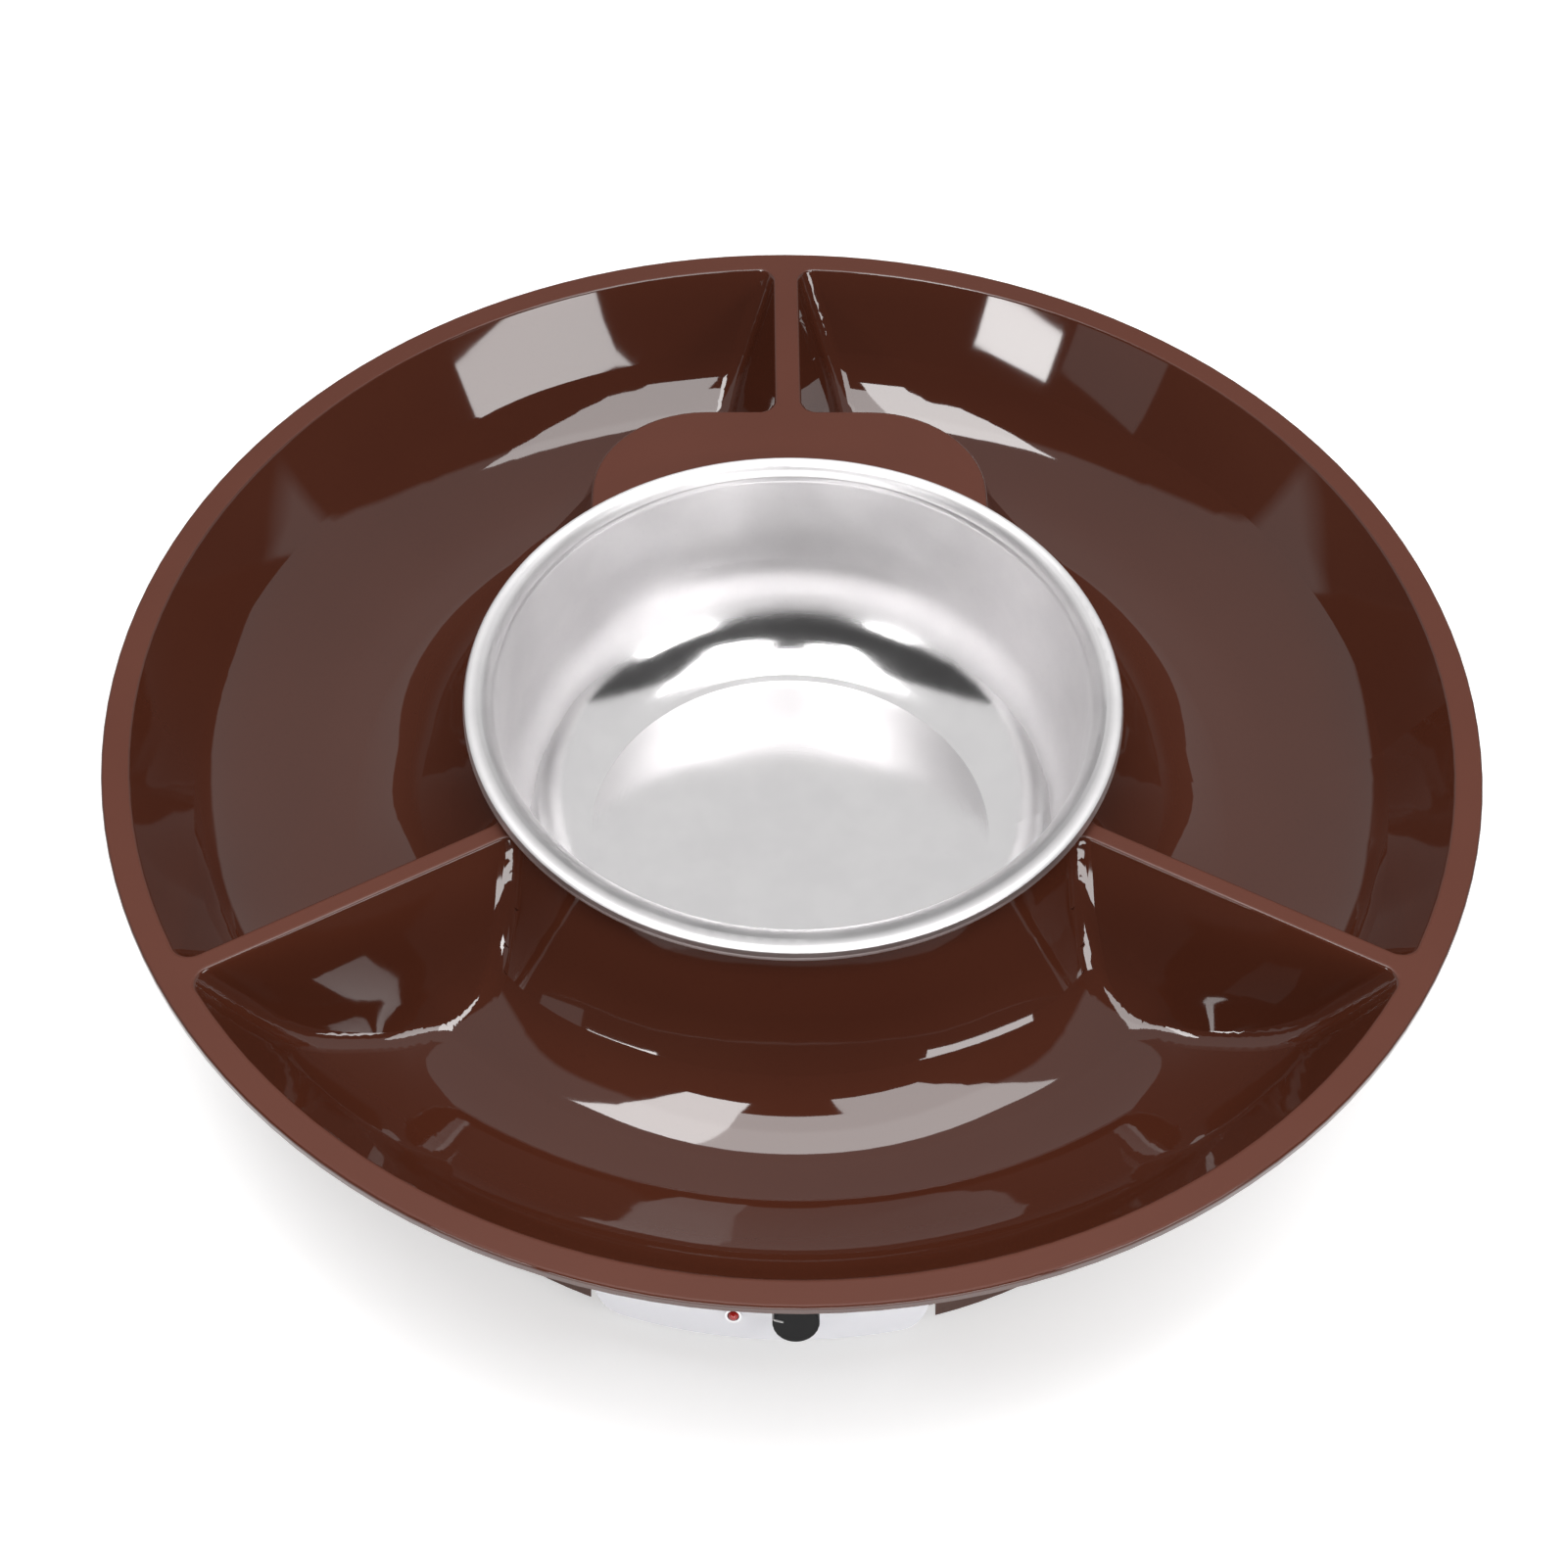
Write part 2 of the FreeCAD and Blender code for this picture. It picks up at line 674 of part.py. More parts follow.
def panel_frame(height, outer_radius, azimuth):
    """Placement on a sloped wall: local Z points out of the wall, local Y up along it."""
    turn = FreeCAD.Rotation(vector(0, 0, 1), azimuth)
    tilt = FreeCAD.Rotation(vector(1, 0, 0), 90.0 - number("d.base_slope"))
    point = turn.multVec(vector(0, -outer_radius, height))
    return FreeCAD.Placement(point, turn * tilt)


def knob_frame():
    reach = number(f"{PANEL_RADIUS} - (d.knob_height - d.foot_height) * {SLOPE}")
    return panel_frame(number("d.knob_height"), reach, 0.0)


def lamp_frame():
    reach = number(f"{PANEL_RADIUS} - (d.lamp_height - d.foot_height) * {SLOPE}")
    return panel_frame(number("d.lamp_height"), reach, -number("d.lamp_angle"))


def gland_frame():
    return panel_frame(number("d.gland_height"), number(base_radius_at("d.gland_height")), 180.0)


def cylinder(name, radius, low, high, frame):
    """A cylinder along the frame's local Z between two levels."""
    part = doc.addObject("Part::Cylinder", name)
    part.setExpression("Radius", radius)
    part.setExpression("Height", f"({high}) - ({low})")
    lift = FreeCAD.Placement(vector(0, 0, number(low)), FreeCAD.Rotation())
    part.Placement = frame.multiply(lift)
    return part


def make_base_housing():
    hole = cylinder("gland_hole", "d.gland_neck_radius + d.gland_groove_gap", "-3 * d.shell_wall",
                    "d.shell_wall", gland_frame())
    housing = boolean("Cut", "housing_with_gland_hole", make_housing_body(), hole)
    return finish(housing, "base_housing")


# Bottom cover with vents, its screws and the feet

def make_bottom_cover():
    body = make_body("bottom_cover")
    edge = f"({WALL_ACROSS} + d.cover_gap)"
    revolve(body, "cover_form", [
        ("0", "d.foot_height"),
        (f"d.base_radius - {edge}", "d.foot_height"),
        (f"{base_radius_at(COVER_TOP)} - {edge}", COVER_TOP),
        ("0", COVER_TOP),
    ])
    hole = "d.screw_radius + d.thread_gap"
    screw_hole = post(body, "screw_hole", "d.foot_height", "2 * d.cover_wall", "d.screw_circle", hole,
                      "PartDesign::Pocket", angle="d.screw_angle")
    ring_of(body, "screw_holes", [screw_hole], 4)
    stem = "d.foot_stem_radius + d.thread_gap"
    foot_hole = post(body, "foot_hole", "d.foot_height", "2 * d.cover_wall", "d.foot_circle", stem,
                     "PartDesign::Pocket")
    ring_of(body, "foot_holes", [foot_hole], 4)
    for row, side in (("near", "-1"), ("far", "1")):
        plan = add_sketch(body, row + "_vent_plan", "XY_Plane", "d.foot_height")
        low = f"{side} * d.vent_row - d.vent_length / 2"
        high = f"{side} * d.vent_row + d.vent_length / 2"
        start = "-(d.vent_count - 1) / 2 * d.vent_pitch"
        end_round = "d.vent_round"
        draw_outline(plan, [
            (f"{start} - d.vent_width / 2", low, end_round),
            (f"{start} + d.vent_width / 2", low, end_round),
            (f"{start} + d.vent_width / 2", high, end_round),
            (f"{start} - d.vent_width / 2", high, end_round),
        ])
        vent = extrude(body, row + "_vent", plan, "2 * d.cover_wall", "PartDesign::Pocket", True)
        pattern = body.newObject("PartDesign::LinearPattern", row + "_vents")
        pattern.Originals = [vent]
        axis = [item for item in body.Origin.OriginFeatures if item.Role == "X_Axis"][0]
        pattern.Direction = (axis, [""])
        count = int(number("d.vent_count"))
        pattern.setExpression("Length", "(d.vent_count - 1) * d.vent_pitch")
        pattern.Occurrences = count
        body.Tip = pattern
    return finish(body, "bottom_cover")


def make_base_screws():
    body = make_body("base_screws")
    head = post(body, "screw_head", "d.foot_height", "d.screw_head_height", "d.screw_circle",
                "d.screw_head_radius", up=False, angle="d.screw_angle")
    shank = post(body, "screw_shank", "d.foot_height", "d.cover_wall + d.screw_grip - d.screw_spare",
                 "d.screw_circle", "d.screw_radius", angle="d.screw_angle")
    slot = post(body, "screw_socket", "d.foot_height - d.screw_head_height", "d.screw_head_height / 2",
                "d.screw_circle", "d.screw_radius", "PartDesign::Pocket", angle="d.screw_angle")
    ring_of(body, "screws", [head, shank, slot], 4)
    return finish(body, "base_screws")


def make_rubber_feet():
    body = make_body("rubber_feet")
    pad = post(body, "foot_pad", "0", "d.foot_height", "d.foot_circle", "d.foot_radius")
    stem = post(body, "foot_stem", "d.foot_height", "d.cover_wall", "d.foot_circle", "d.foot_stem_radius")
    head = post(body, "foot_head", COVER_TOP, "d.foot_head_height", "d.foot_circle", "d.foot_head_radius")
    ring_of(body, "feet", [pad, stem, head], 4)
    return finish(body, "rubber_feet")


# Heater under the pot: plate, seal, element, pad and shield, hung from the housing's rib

def make_heating_plate():
    body = make_body("heating_plate")
    revolve(body, "plate_form", [
        ("0", PLATE_UNDER),
        ("d.plate_flange_radius", PLATE_UNDER),
        ("d.plate_flange_radius", FLANGE_TOP),
        ("d.plate_radius", FLANGE_TOP),
        ("d.plate_radius", PLATE_TOP, "d.edge_round"),
        ("0", PLATE_TOP),
    ])
    return finish(body, "heating_plate")


def make_plate_seal():
    body = make_body("plate_seal")
    revolve(body, "seal_form", [
        ("d.plate_radius + d.plate_gap", FLANGE_TOP),
        ("d.plate_flange_radius", FLANGE_TOP),
        ("d.plate_flange_radius", WELL_UNDER),
        ("d.plate_radius + d.plate_gap", WELL_UNDER),
    ])
    return finish(body, "plate_seal")


def tab_slots(body, name, low, height):
    """Two slots through a disc for the element's terminals."""
    for side, sign in (("left", "-1"), ("right", "1")):
        plan = add_sketch(body, f"{name}_{side}_slot_plan", "XY_Plane", low)
        middle = f"{sign} * d.terminal_pitch / 2"
        across, along = "(d.terminal_width / 2 + d.terminal_gap)", "(d.terminal_wall / 2 + d.terminal_gap)"
        draw_outline(plan, [
            (f"{middle} - {across}", f"d.terminal_place - {along}"),
            (f"{middle} + {across}", f"d.terminal_place - {along}"),
            (f"{middle} + {across}", f"d.terminal_place + {along}"),
            (f"{middle} - {across}", f"d.terminal_place + {along}"),
        ])
        extrude(body, f"{name}_{side}_slot", plan, height, "PartDesign::Pocket", True)


def make_disc(label, radius, low, high, slotted):
    body = make_body(label)
    revolve(body, label + "_form", [("0", low), (radius, low), (radius, high), ("0", high)])
    if slotted:
        tab_slots(body, label, low, f"{high} - {low}")
    return finish(body, label)


def make_element_terminals():
    body = make_body("element_terminals")
    low = f"({SHIELD_UNDER} - d.terminal_length)"
    for side, sign in (("left", "-1"), ("right", "1")):
        plan = add_sketch(body, side + "_terminal_plan", "XY_Plane", low)
        middle = f"{sign} * d.terminal_pitch / 2"
        draw_outline(plan, [
            (f"{middle} - d.terminal_width / 2", "d.terminal_place - d.terminal_wall / 2"),
            (f"{middle} + d.terminal_width / 2", "d.terminal_place - d.terminal_wall / 2"),
            (f"{middle} + d.terminal_width / 2", "d.terminal_place + d.terminal_wall / 2"),
            (f"{middle} - d.terminal_width / 2", "d.terminal_place + d.terminal_wall / 2"),
        ])
        extrude(body, side + "_terminal", plan, f"{ELEMENT_UNDER} - {low}")
    return finish(body, "element_terminals")


def make_heat_shield():
    body = make_body("heat_shield")
    pan = "(d.element_radius + d.shield_clear + d.shield_wall)"
    rim_low = f"({PLATE_UNDER} - d.shield_wall)"
    revolve(body, "shield_form", [
        ("0", SHIELD_UNDER),
        (pan, SHIELD_UNDER, "d.shield_round"),
        (pan, rim_low),
        ("d.plate_flange_radius - d.shield_clear", rim_low),
        ("d.plate_flange_radius - d.shield_clear", PLATE_UNDER),
        (f"{pan} - d.shield_wall", PLATE_UNDER),
        (f"{pan} - d.shield_wall", PAD_UNDER),
        ("0", PAD_UNDER),
    ])
    arm = add_sketch(body, "shield_arm_plan", "XY_Plane", rim_low)
    draw_outline(arm, [
        (f"{pan} + d.shield_wall", "-d.ear_radius"),
        ("d.ear_circle + d.ear_radius", "-d.ear_radius", "d.ear_round"),
        ("d.ear_circle + d.ear_radius", "d.ear_radius", "d.ear_round"),
        (f"{pan} + d.shield_wall", "d.ear_radius"),
    ])
    arm_pad = extrude(body, "shield_arm", arm, "d.shield_wall")
    hole = post(body, "ear_hole", rim_low, "d.shield_wall", "d.ear_circle",
                "d.shield_screw_radius + d.thread_gap", "PartDesign::Pocket", True, "0")
    ring_of(body, "shield_arms", [arm_pad, hole], 3)
    tab_slots(body, "shield", SHIELD_UNDER, "d.shield_wall")
    return finish(body, "heat_shield")


def make_shield_screws():
    body = make_body("shield_screws")
    level = f"({PLATE_UNDER} - d.shield_wall)"
    head = post(body, "shield_screw_head", level, "d.screw_head_height", "d.ear_circle",
                "d.screw_head_radius", up=False, angle="0")
    shank = post(body, "shield_screw_shank", level, "d.shield_wall + d.shield_screw_grip - d.screw_spare",
                 "d.ear_circle", "d.shield_screw_radius", angle="0")
    ring_of(body, "shield_screw_set", [head, shank], 3)
    return finish(body, "shield_screws")


def make_thermostat():
    body = make_body("thermostat")
    place = ("-d.thermostat_offset", "-d.thermostat_offset / 2")
    case = add_sketch(body, "thermostat_case_plan", "XY_Plane", SHIELD_UNDER)
    draw_circle(case, place[0], place[1], "d.thermostat_radius")
    extrude(body, "thermostat_case", case, "d.thermostat_height", back=True)
    neck = add_sketch(body, "thermostat_neck_plan", "XY_Plane", f"{SHIELD_UNDER} - d.thermostat_height")
    draw_circle(neck, place[0], place[1], "d.thermostat_neck_radius")
    extrude(body, "thermostat_neck", neck, "d.thermostat_neck", back=True)
    low = f"{SHIELD_UNDER} - d.thermostat_height - d.thermostat_neck"
    for side, sign in (("front", "-1"), ("rear", "1")):
        blade = add_sketch(body, side + "_blade_plan", "XY_Plane", low)
        middle = f"({place[1]} + {sign} * d.thermostat_radius / 2)"
        draw_outline(blade, [
            (f"{place[0]} - d.terminal_width / 2", f"{middle} - d.terminal_wall / 2"),
            (f"{place[0]} + d.terminal_width / 2", f"{middle} - d.terminal_wall / 2"),
            (f"{place[0]} + d.terminal_width / 2", f"{middle} + d.terminal_wall / 2"),
            (f"{place[0]} - d.terminal_width / 2", f"{middle} + d.terminal_wall / 2"),
        ])
        extrude(body, side + "_blade", blade, "d.terminal_length", back=True)
    return finish(body, "thermostat")


def make_thermal_fuse():
    """A sleeved fuse that lies along X under the shield."""
    fuse = doc.addObject("Part::Cylinder", "thermal_fuse_sleeve")
    fuse.setExpression("Radius", "d.fuse_radius")
    fuse.setExpression("Height", "d.fuse_length")
    level = number(f"{SHIELD_UNDER} - d.fuse_radius - d.fuse_gap")
    spot = vector(number("d.fuse_offset - d.fuse_length / 2"), number("-d.fuse_offset / 2"), level)
    fuse.Placement = FreeCAD.Placement(spot, FreeCAD.Rotation(vector(0, 1, 0), 90.0))
    return finish(fuse, "thermal_fuse")


def make_fuse_clamp():
    """A hat-shaped strap over the fuse, welded to the shield by its two flanges."""
    body = make_body("fuse_clamp")
    half = "(d.fuse_radius + d.fuse_gap)"
    low = f"({SHIELD_UNDER} - 2 * d.fuse_radius - 2 * d.fuse_gap)"
    middle = "(-d.fuse_offset / 2)"
    section = add_sketch(body, "clamp_section", "YZ_Plane", "d.fuse_offset - d.clamp_width / 2")
    inner, outer = half, f"({half} + d.clamp_wall)"
    foot = f"({outer} + d.clamp_foot)"
    bend = "d.clamp_bend"
    draw_outline(section, [
        (f"{middle} - {foot}", SHIELD_UNDER),
        (f"{middle} - {foot}", f"{SHIELD_UNDER} - d.clamp_wall"),
        (f"{middle} - {outer}", f"{SHIELD_UNDER} - d.clamp_wall"),
        (f"{middle} - {outer}", f"{low} - d.clamp_wall", bend),
        (f"{middle} + {outer}", f"{low} - d.clamp_wall", bend),
        (f"{middle} + {outer}", f"{SHIELD_UNDER} - d.clamp_wall"),
        (f"{middle} + {foot}", f"{SHIELD_UNDER} - d.clamp_wall"),
        (f"{middle} + {foot}", SHIELD_UNDER),
        (f"{middle} + {inner}", SHIELD_UNDER),
        (f"{middle} + {inner}", low),
        (f"{middle} - {inner}", low),
        (f"{middle} - {inner}", SHIELD_UNDER),
    ])
    extrude(body, "clamp_strap", section, "d.clamp_width")
    return finish(body, "fuse_clamp")


# Control panel: a glossy insert in the housing's notch, held by a lap behind the wall

def panel_layer(name, outer, inner, low, high):
    """A cone-shaped layer of the panel, between two distances inside its outer face."""
    body = make_body(name)
    corners = []
    for height, inset in ((low, inner), (low, outer), (high, outer), (high, inner)):
        corners.append((f"{PANEL_RADIUS} - ({height} - d.foot_height) * {SLOPE} - ({inset})", height))
    revolve(body, name + "_form", corners)
    return body


def front_prism(name, left, right, low, high, low_round, high_round):
    """A bar seen from the front as a rectangle with round corners."""
    body = make_body(name)
    plan = add_sketch(body, name + "_plan", "XZ_Plane")
    draw_outline(plan, [
        (f"-({left})", low, low_round),
        (right, low, low_round),
        (right, high, high_round),
        (f"-({left})", high, high_round),
    ])
    extrude(body, name + "_bar", plan, "d.tray_radius")
    return body


def make_control_panel():
    skin = "d.panel_wall / cos(d.base_slope)"
    wall_inner = f"(d.panel_proud + {WALL_ACROSS})"
    lap_outer = f"({wall_inner} + d.lap_gap)"
    lap_inner = f"({lap_outer} + d.panel_wall)"
    lap_low = f"({COVER_TOP} + d.cover_gap)"
    inset = "d.panel_wall"
    outline = front_prism("panel_outline", "d.panel_left", "d.panel_right", "d.foot_height",
                          "d.panel_top", "d.panel_corner", "d.notch_round")
    ledge = boolean("Common", "panel_ledge", panel_layer(
        "ledge_layer", "0", wall_inner, "d.foot_height", lap_low), outline)
    block = boolean("Common", "panel_block", panel_layer(
        "block_layer", "0", lap_inner, lap_low, "d.panel_top"), outline)
    lap_outline = front_prism(
        "lap_outline", "d.panel_left + d.notch_gap_left + d.panel_lap",
        "d.panel_right + d.notch_gap_right + d.panel_lap", lap_low,
        "d.panel_top + d.notch_gap_top + d.lap_top", "d.notch_round", "d.notch_round")
    lap = boolean("Common", "panel_lap_sheet", panel_layer(
        "lap_layer", lap_outer, lap_inner, lap_low, "d.panel_top + d.notch_gap_top + d.lap_top"),
        lap_outline)
    hollow_outline = front_prism(
        "hollow_outline", f"d.panel_left - {inset}", f"d.panel_right - {inset}", lap_low,
        f"d.panel_top - {inset}", f"d.panel_corner - {inset}", "d.notch_round / 2")
    hollow = boolean("Common", "panel_hollow", panel_layer(
        "hollow_layer", skin, f"{lap_inner} + d.panel_wall", lap_low, f"d.panel_top - {inset}"),
        hollow_outline)
    shell = boolean("Cut", "panel_shell", fuse_all("panel_solid", [ledge, block, lap]), hollow)
    knob_seat = cylinder("knob_seat", "d.collar_radius + d.seat_margin", "-d.seat_depth", "-d.panel_wall / 2", knob_frame())
    lamp_seat = cylinder("lamp_seat", "d.lamp_nut_radius + d.seat_margin / 2", "-d.seat_depth", "-d.panel_wall / 2",
                         lamp_frame())
    seated = fuse_all("panel_with_seats", [shell, knob_seat, lamp_seat])
    bush_hole = cylinder("bush_hole", "d.bush_radius + d.thread_gap", "-2 * d.seat_depth", "d.panel_wall",
                         knob_frame())
    lamp_hole = cylinder("lamp_hole", "d.bezel_stem_radius + d.thread_gap", "-2 * d.seat_depth",
                         "d.panel_wall", lamp_frame())
    drilled = boolean("Cut", "panel_with_bush_hole", seated, bush_hole)
    return finish(boolean("Cut", "panel_with_holes", drilled, lamp_hole), "control_panel")


# Knob and rotary switch, in a frame whose Z points out of the panel along the shaft

def draw_d_shape(sketch, radius, flat):
    """A circle with a flat at a distance from its centre, on the local +Y side."""
    size, cut = number(radius), number(flat)
    half = math.sqrt(size * size - cut * cut)
    rim = Part.Arc(vector(-half, cut), vector(0, -size), vector(half, cut))
    rim_id = sketch.addGeometry(rim, False)
    chord_id = sketch.addGeometry(Part.LineSegment(vector(half, cut), vector(-half, cut)), False)
    sketch.addConstraint([
        Sketcher.Constraint("Coincident", rim_id, 3, -1, 1),
        Sketcher.Constraint("Coincident", rim_id, 1, chord_id, 2),
        Sketcher.Constraint("Coincident", rim_id, 2, chord_id, 1),
        Sketcher.Constraint("Horizontal", chord_id),
    ])
    bind(sketch, "Radius", (rim_id,), radius)
    bind(sketch, "DistanceY", (chord_id, 1), flat)


def make_knob_shaft():
    """The round shaft in the bush, with a flat where the knob sits."""
    body = make_body("knob_shaft")
    low = "-(d.seat_depth + d.switch_depth - d.switch_floor)"
    flat_start = "(d.collar_height + d.knob_lift)"
    tip = "(d.knob_standoff - d.knob_wall - d.shaft_clearance)"
    stem = add_sketch(body, "shaft_plan", "XY_Plane", low)
    draw_circle(stem, "0", "0", "d.shaft_radius")
    extrude(body, "shaft_stem", stem, f"{flat_start} - ({low})")
    flat = add_sketch(body, "shaft_flat_plan", "XY_Plane", flat_start)
    draw_d_shape(flat, "d.shaft_radius", "d.shaft_flat")
    extrude(body, "shaft_tip", flat, f"{tip} - {flat_start}")
    body.Placement = knob_frame()
    return finish(body, "knob_shaft")


def make_control_knob():
    """A low cap with a grip of shallow flutes and a pointer groove in its face."""
    body = make_body("control_knob")
    low = "(d.collar_height + d.knob_lift)"
    revolve(body, "knob_form", [
        ("0", low),
        ("d.knob_neck_radius", low),
        ("d.knob_radius", f"{low} + d.knob_flare"),
        ("d.knob_radius", "d.knob_standoff", "d.knob_edge"),
        ("0", "d.knob_standoff"),
    ])
    bore = add_sketch(body, "knob_bore_plan", "XY_Plane", low)
    draw_d_shape(bore, "d.shaft_radius + d.shaft_clearance", "d.shaft_flat + d.shaft_clearance")
    extrude(body, "knob_bore", bore, f"d.knob_standoff - d.knob_wall - {low}", "PartDesign::Pocket", True)
    pointer = add_sketch(body, "pointer_plan", "XY_Plane", "d.knob_standoff")
    draw_outline(pointer, bar_corners("d.pointer_angle", "d.pointer_start", "(d.knob_radius + d.knob_edge)",
                                      "d.pointer_width / 2"))
    extrude(body, "pointer_groove", pointer, "d.pointer_depth", "PartDesign::Pocket")
    flute = add_sketch(body, "flute_plan", "XY_Plane", low)
    draw_circle(flute, "d.knob_radius + d.flute_radius - d.flute_depth", "0", "d.flute_radius")
    groove = extrude(body, "flute", flute, f"d.knob_standoff - {low}", "PartDesign::Pocket", True)
    ring_of(body, "flutes", [groove], int(number("d.flute_count")))
    body.Placement = knob_frame()
    return finish(body, "control_knob")


def make_switch_collar():
    """The bright nut that holds the switch's bush to the panel."""
    body = make_body("switch_collar")
    revolve(body, "collar_form", [
        ("d.bush_radius + d.thread_gap", "d.seat_gap"),
        ("d.collar_radius", "d.seat_gap"),
        ("d.collar_radius", "d.collar_height", "d.collar_height / 2"),
        ("d.bush_radius + d.thread_gap", "d.collar_height"),
    ])
    body.Placement = knob_frame()
    return finish(body, "switch_collar")


def square_corners(half, radius):
    signs = (("-1", "-1"), ("1", "-1"), ("1", "1"), ("-1", "1"))
    return [(f"{x} * {half}", f"{y} * {half}", radius) for x, y in signs]


def make_rotary_switch():
    body = make_body("rotary_switch")
    back = "-(d.seat_depth + d.switch_depth)"
    case = add_sketch(body, "switch_case_plan", "XY_Plane", back)
    draw_outline(case, square_corners("d.switch_side / 2", "d.switch_side / 10"))
    extrude(body, "switch_case", case, "d.switch_depth")
    bush = add_sketch(body, "switch_bush_plan", "XY_Plane", "-d.seat_depth")
    draw_circle(bush, "0", "0", "d.bush_radius")
    extrude(body, "switch_bush", bush, "d.seat_depth + d.collar_height")
    bore = add_sketch(body, "switch_bore_plan", "XY_Plane",
                      "-(d.seat_depth + d.switch_depth - d.switch_floor)")
    draw_circle(bore, "0", "0", "d.shaft_radius + d.shaft_clearance")
    extrude(body, "switch_bore", bore, "d.seat_depth + d.switch_depth + d.collar_height",
            "PartDesign::Pocket", True)
    body.Placement = knob_frame()
    return finish(body, "rotary_switch")


def make_switch_tabs():
    body = make_body("switch_tabs")
    back = "-(d.seat_depth + d.switch_depth)"
    for side, sign in (("left", "-1"), ("right", "1")):
        plan = add_sketch(body, side + "_tab_plan", "XY_Plane", back)
        middle = f"{sign} * d.switch_side / 4"
        draw_outline(plan, [
            (f"{middle} - d.tab_width / 2", "-d.tab_wall / 2"),
            (f"{middle} + d.tab_width / 2", "-d.tab_wall / 2"),
            (f"{middle} + d.tab_width / 2", "d.tab_wall / 2"),
            (f"{middle} - d.tab_width / 2", "d.tab_wall / 2"),
        ])
        extrude(body, side + "_tab", plan, "d.tab_length", back=True)
    body.Placement = knob_frame()
    return finish(body, "switch_tabs")


# Indicator lamp, in a frame whose Z points out of the panel

def make_indicator():
    bezel = make_body("indicator_bezel")
    stem_end = "-(d.seat_depth + d.lamp_nut_height + d.bezel_tail)"
    revolve(bezel, "bezel_form", [
        ("d.bezel_bore", stem_end),
        ("d.bezel_stem_radius", stem_end),
        ("d.bezel_stem_radius", "d.seat_gap"),
        ("d.bezel_radius", "d.seat_gap"),
        ("d.bezel_radius", "d.bezel_standoff"),
        ("d.bezel_bore", "d.bezel_standoff"),
    ])
    lamp = make_body("indicator_lamp")
    lamp_back = "-(d.seat_depth + d.lamp_tail)"
    revolve(lamp, "lamp_form", [
        ("0", lamp_back),
        ("d.lamp_radius", lamp_back),
        ("d.lamp_radius", "d.lamp_standoff", "d.dome_round"),
        ("0", "d.lamp_standoff"),
    ])
    nut = make_body("indicator_nut")
    revolve(nut, "lamp_nut_form", [
        ("d.bezel_stem_radius + d.thread_gap", "-(d.seat_depth + d.lamp_nut_height)"),
        ("d.lamp_nut_radius", "-(d.seat_depth + d.lamp_nut_height)"),
        ("d.lamp_nut_radius", "-d.seat_depth"),
        ("d.bezel_stem_radius + d.thread_gap", "-d.seat_depth"),
    ])
    for body in (bezel, lamp, nut):
        body.Placement = lamp_frame()
        finish(body, body.Name)


# Cord gland at the back, terminal block and leads

def make_cord_gland():
    body = make_body("cord_gland")
    inner = "-(d.shell_wall + d.gland_groove_gap)"
    revolve(body, "gland_form", [
        ("d.gland_bore", f"{inner} - d.gland_tail"),
        ("d.gland_radius", f"{inner} - d.gland_tail"),
        ("d.gland_radius + d.gland_barb", inner),
        ("d.gland_neck_radius", inner),
        ("d.gland_neck_radius", "d.seat_gap"),
        ("d.gland_flange_radius", "d.seat_gap"),
        ("d.gland_flange_radius", "d.gland_flange", "d.gland_flange / 2"),
        ("d.gland_bore", "d.gland_flange"),
    ])
    body.Placement = gland_frame()
    return finish(body, "cord_gland")


def make_terminal_block():
    body = make_body("terminal_block")
    plan = add_sketch(body, "block_plan", "XY_Plane", COVER_TOP)
    draw_outline(plan, [
        ("-d.block_length / 2", "d.block_place - d.block_width / 2"),
        ("d.block_length / 2", "d.block_place - d.block_width / 2"),
        ("d.block_length / 2", "d.block_place + d.block_width / 2"),
        ("-d.block_length / 2", "d.block_place + d.block_width / 2"),
    ])
    extrude(body, "block_form", plan, "d.block_height")
    ways = add_sketch(body, "block_way_plan", "XZ_Plane")
    for sign in ("-1", "1"):
        draw_circle(ways, f"{sign} * d.block_length / 4", "d.block_way_height", "d.block_way_radius")
    through_pocket(body, "block_ways", ways)
    tops = add_sketch(body, "block_hole_plan", "XY_Plane", f"{COVER_TOP} + d.block_height")
    for sign in ("-1", "1"):
        draw_circle(tops, f"{sign} * d.block_length / 4", "d.block_place", "d.screw_radius + d.thread_gap")
    extrude(body, "block_holes", tops, "d.block_height / 4", "PartDesign::Pocket")
    return finish(body, "terminal_block")


def make_terminal_screws():
    body = make_body("terminal_screws")
    plan = add_sketch(body, "terminal_screw_plan", "XY_Plane", f"{COVER_TOP} + d.block_height * 3 / 4")
    for sign in ("-1", "1"):
        draw_circle(plan, f"{sign} * d.block_length / 4", "d.block_place", "d.screw_radius")
    extrude(body, "terminal_screw_set", plan, "d.block_height / 4 + d.terminal_wall")
    return finish(body, "terminal_screws")


def rounded_path(points, radius):
    """Straight runs joined by tangent arcs."""
    edges, start = [], points[0]
    for before, corner, after in zip(points, points[1:], points[2:]):
        first, middle, last = round_points(before, corner, after, radius)
        edges.append(Part.LineSegment(start, first).toShape())
        edges.append(Part.Arc(first, middle, last).toShape())
        start = last
    edges.append(Part.LineSegment(start, points[-1]).toShape())
    return Part.Wire(edges)


def tube(points, radius, bend):
    """A round solid along straight runs and arcs, checked against its length."""
    path = rounded_path(points, bend)
    start = path.Edges[0]
    along = start.tangentAt(start.FirstParameter)
    end_disc = Part.Wire([Part.Circle(points[0], along, radius).toShape()])
    solid = path.makePipeShell([end_disc], True, False)
    expected = math.pi * radius * radius * path.Length
    if abs(solid.Volume - expected) > TUBE_TOLERANCE * expected:
        raise RuntimeError(f"tube volume {solid.Volume:.1f} differs from {expected:.1f}")
    return solid


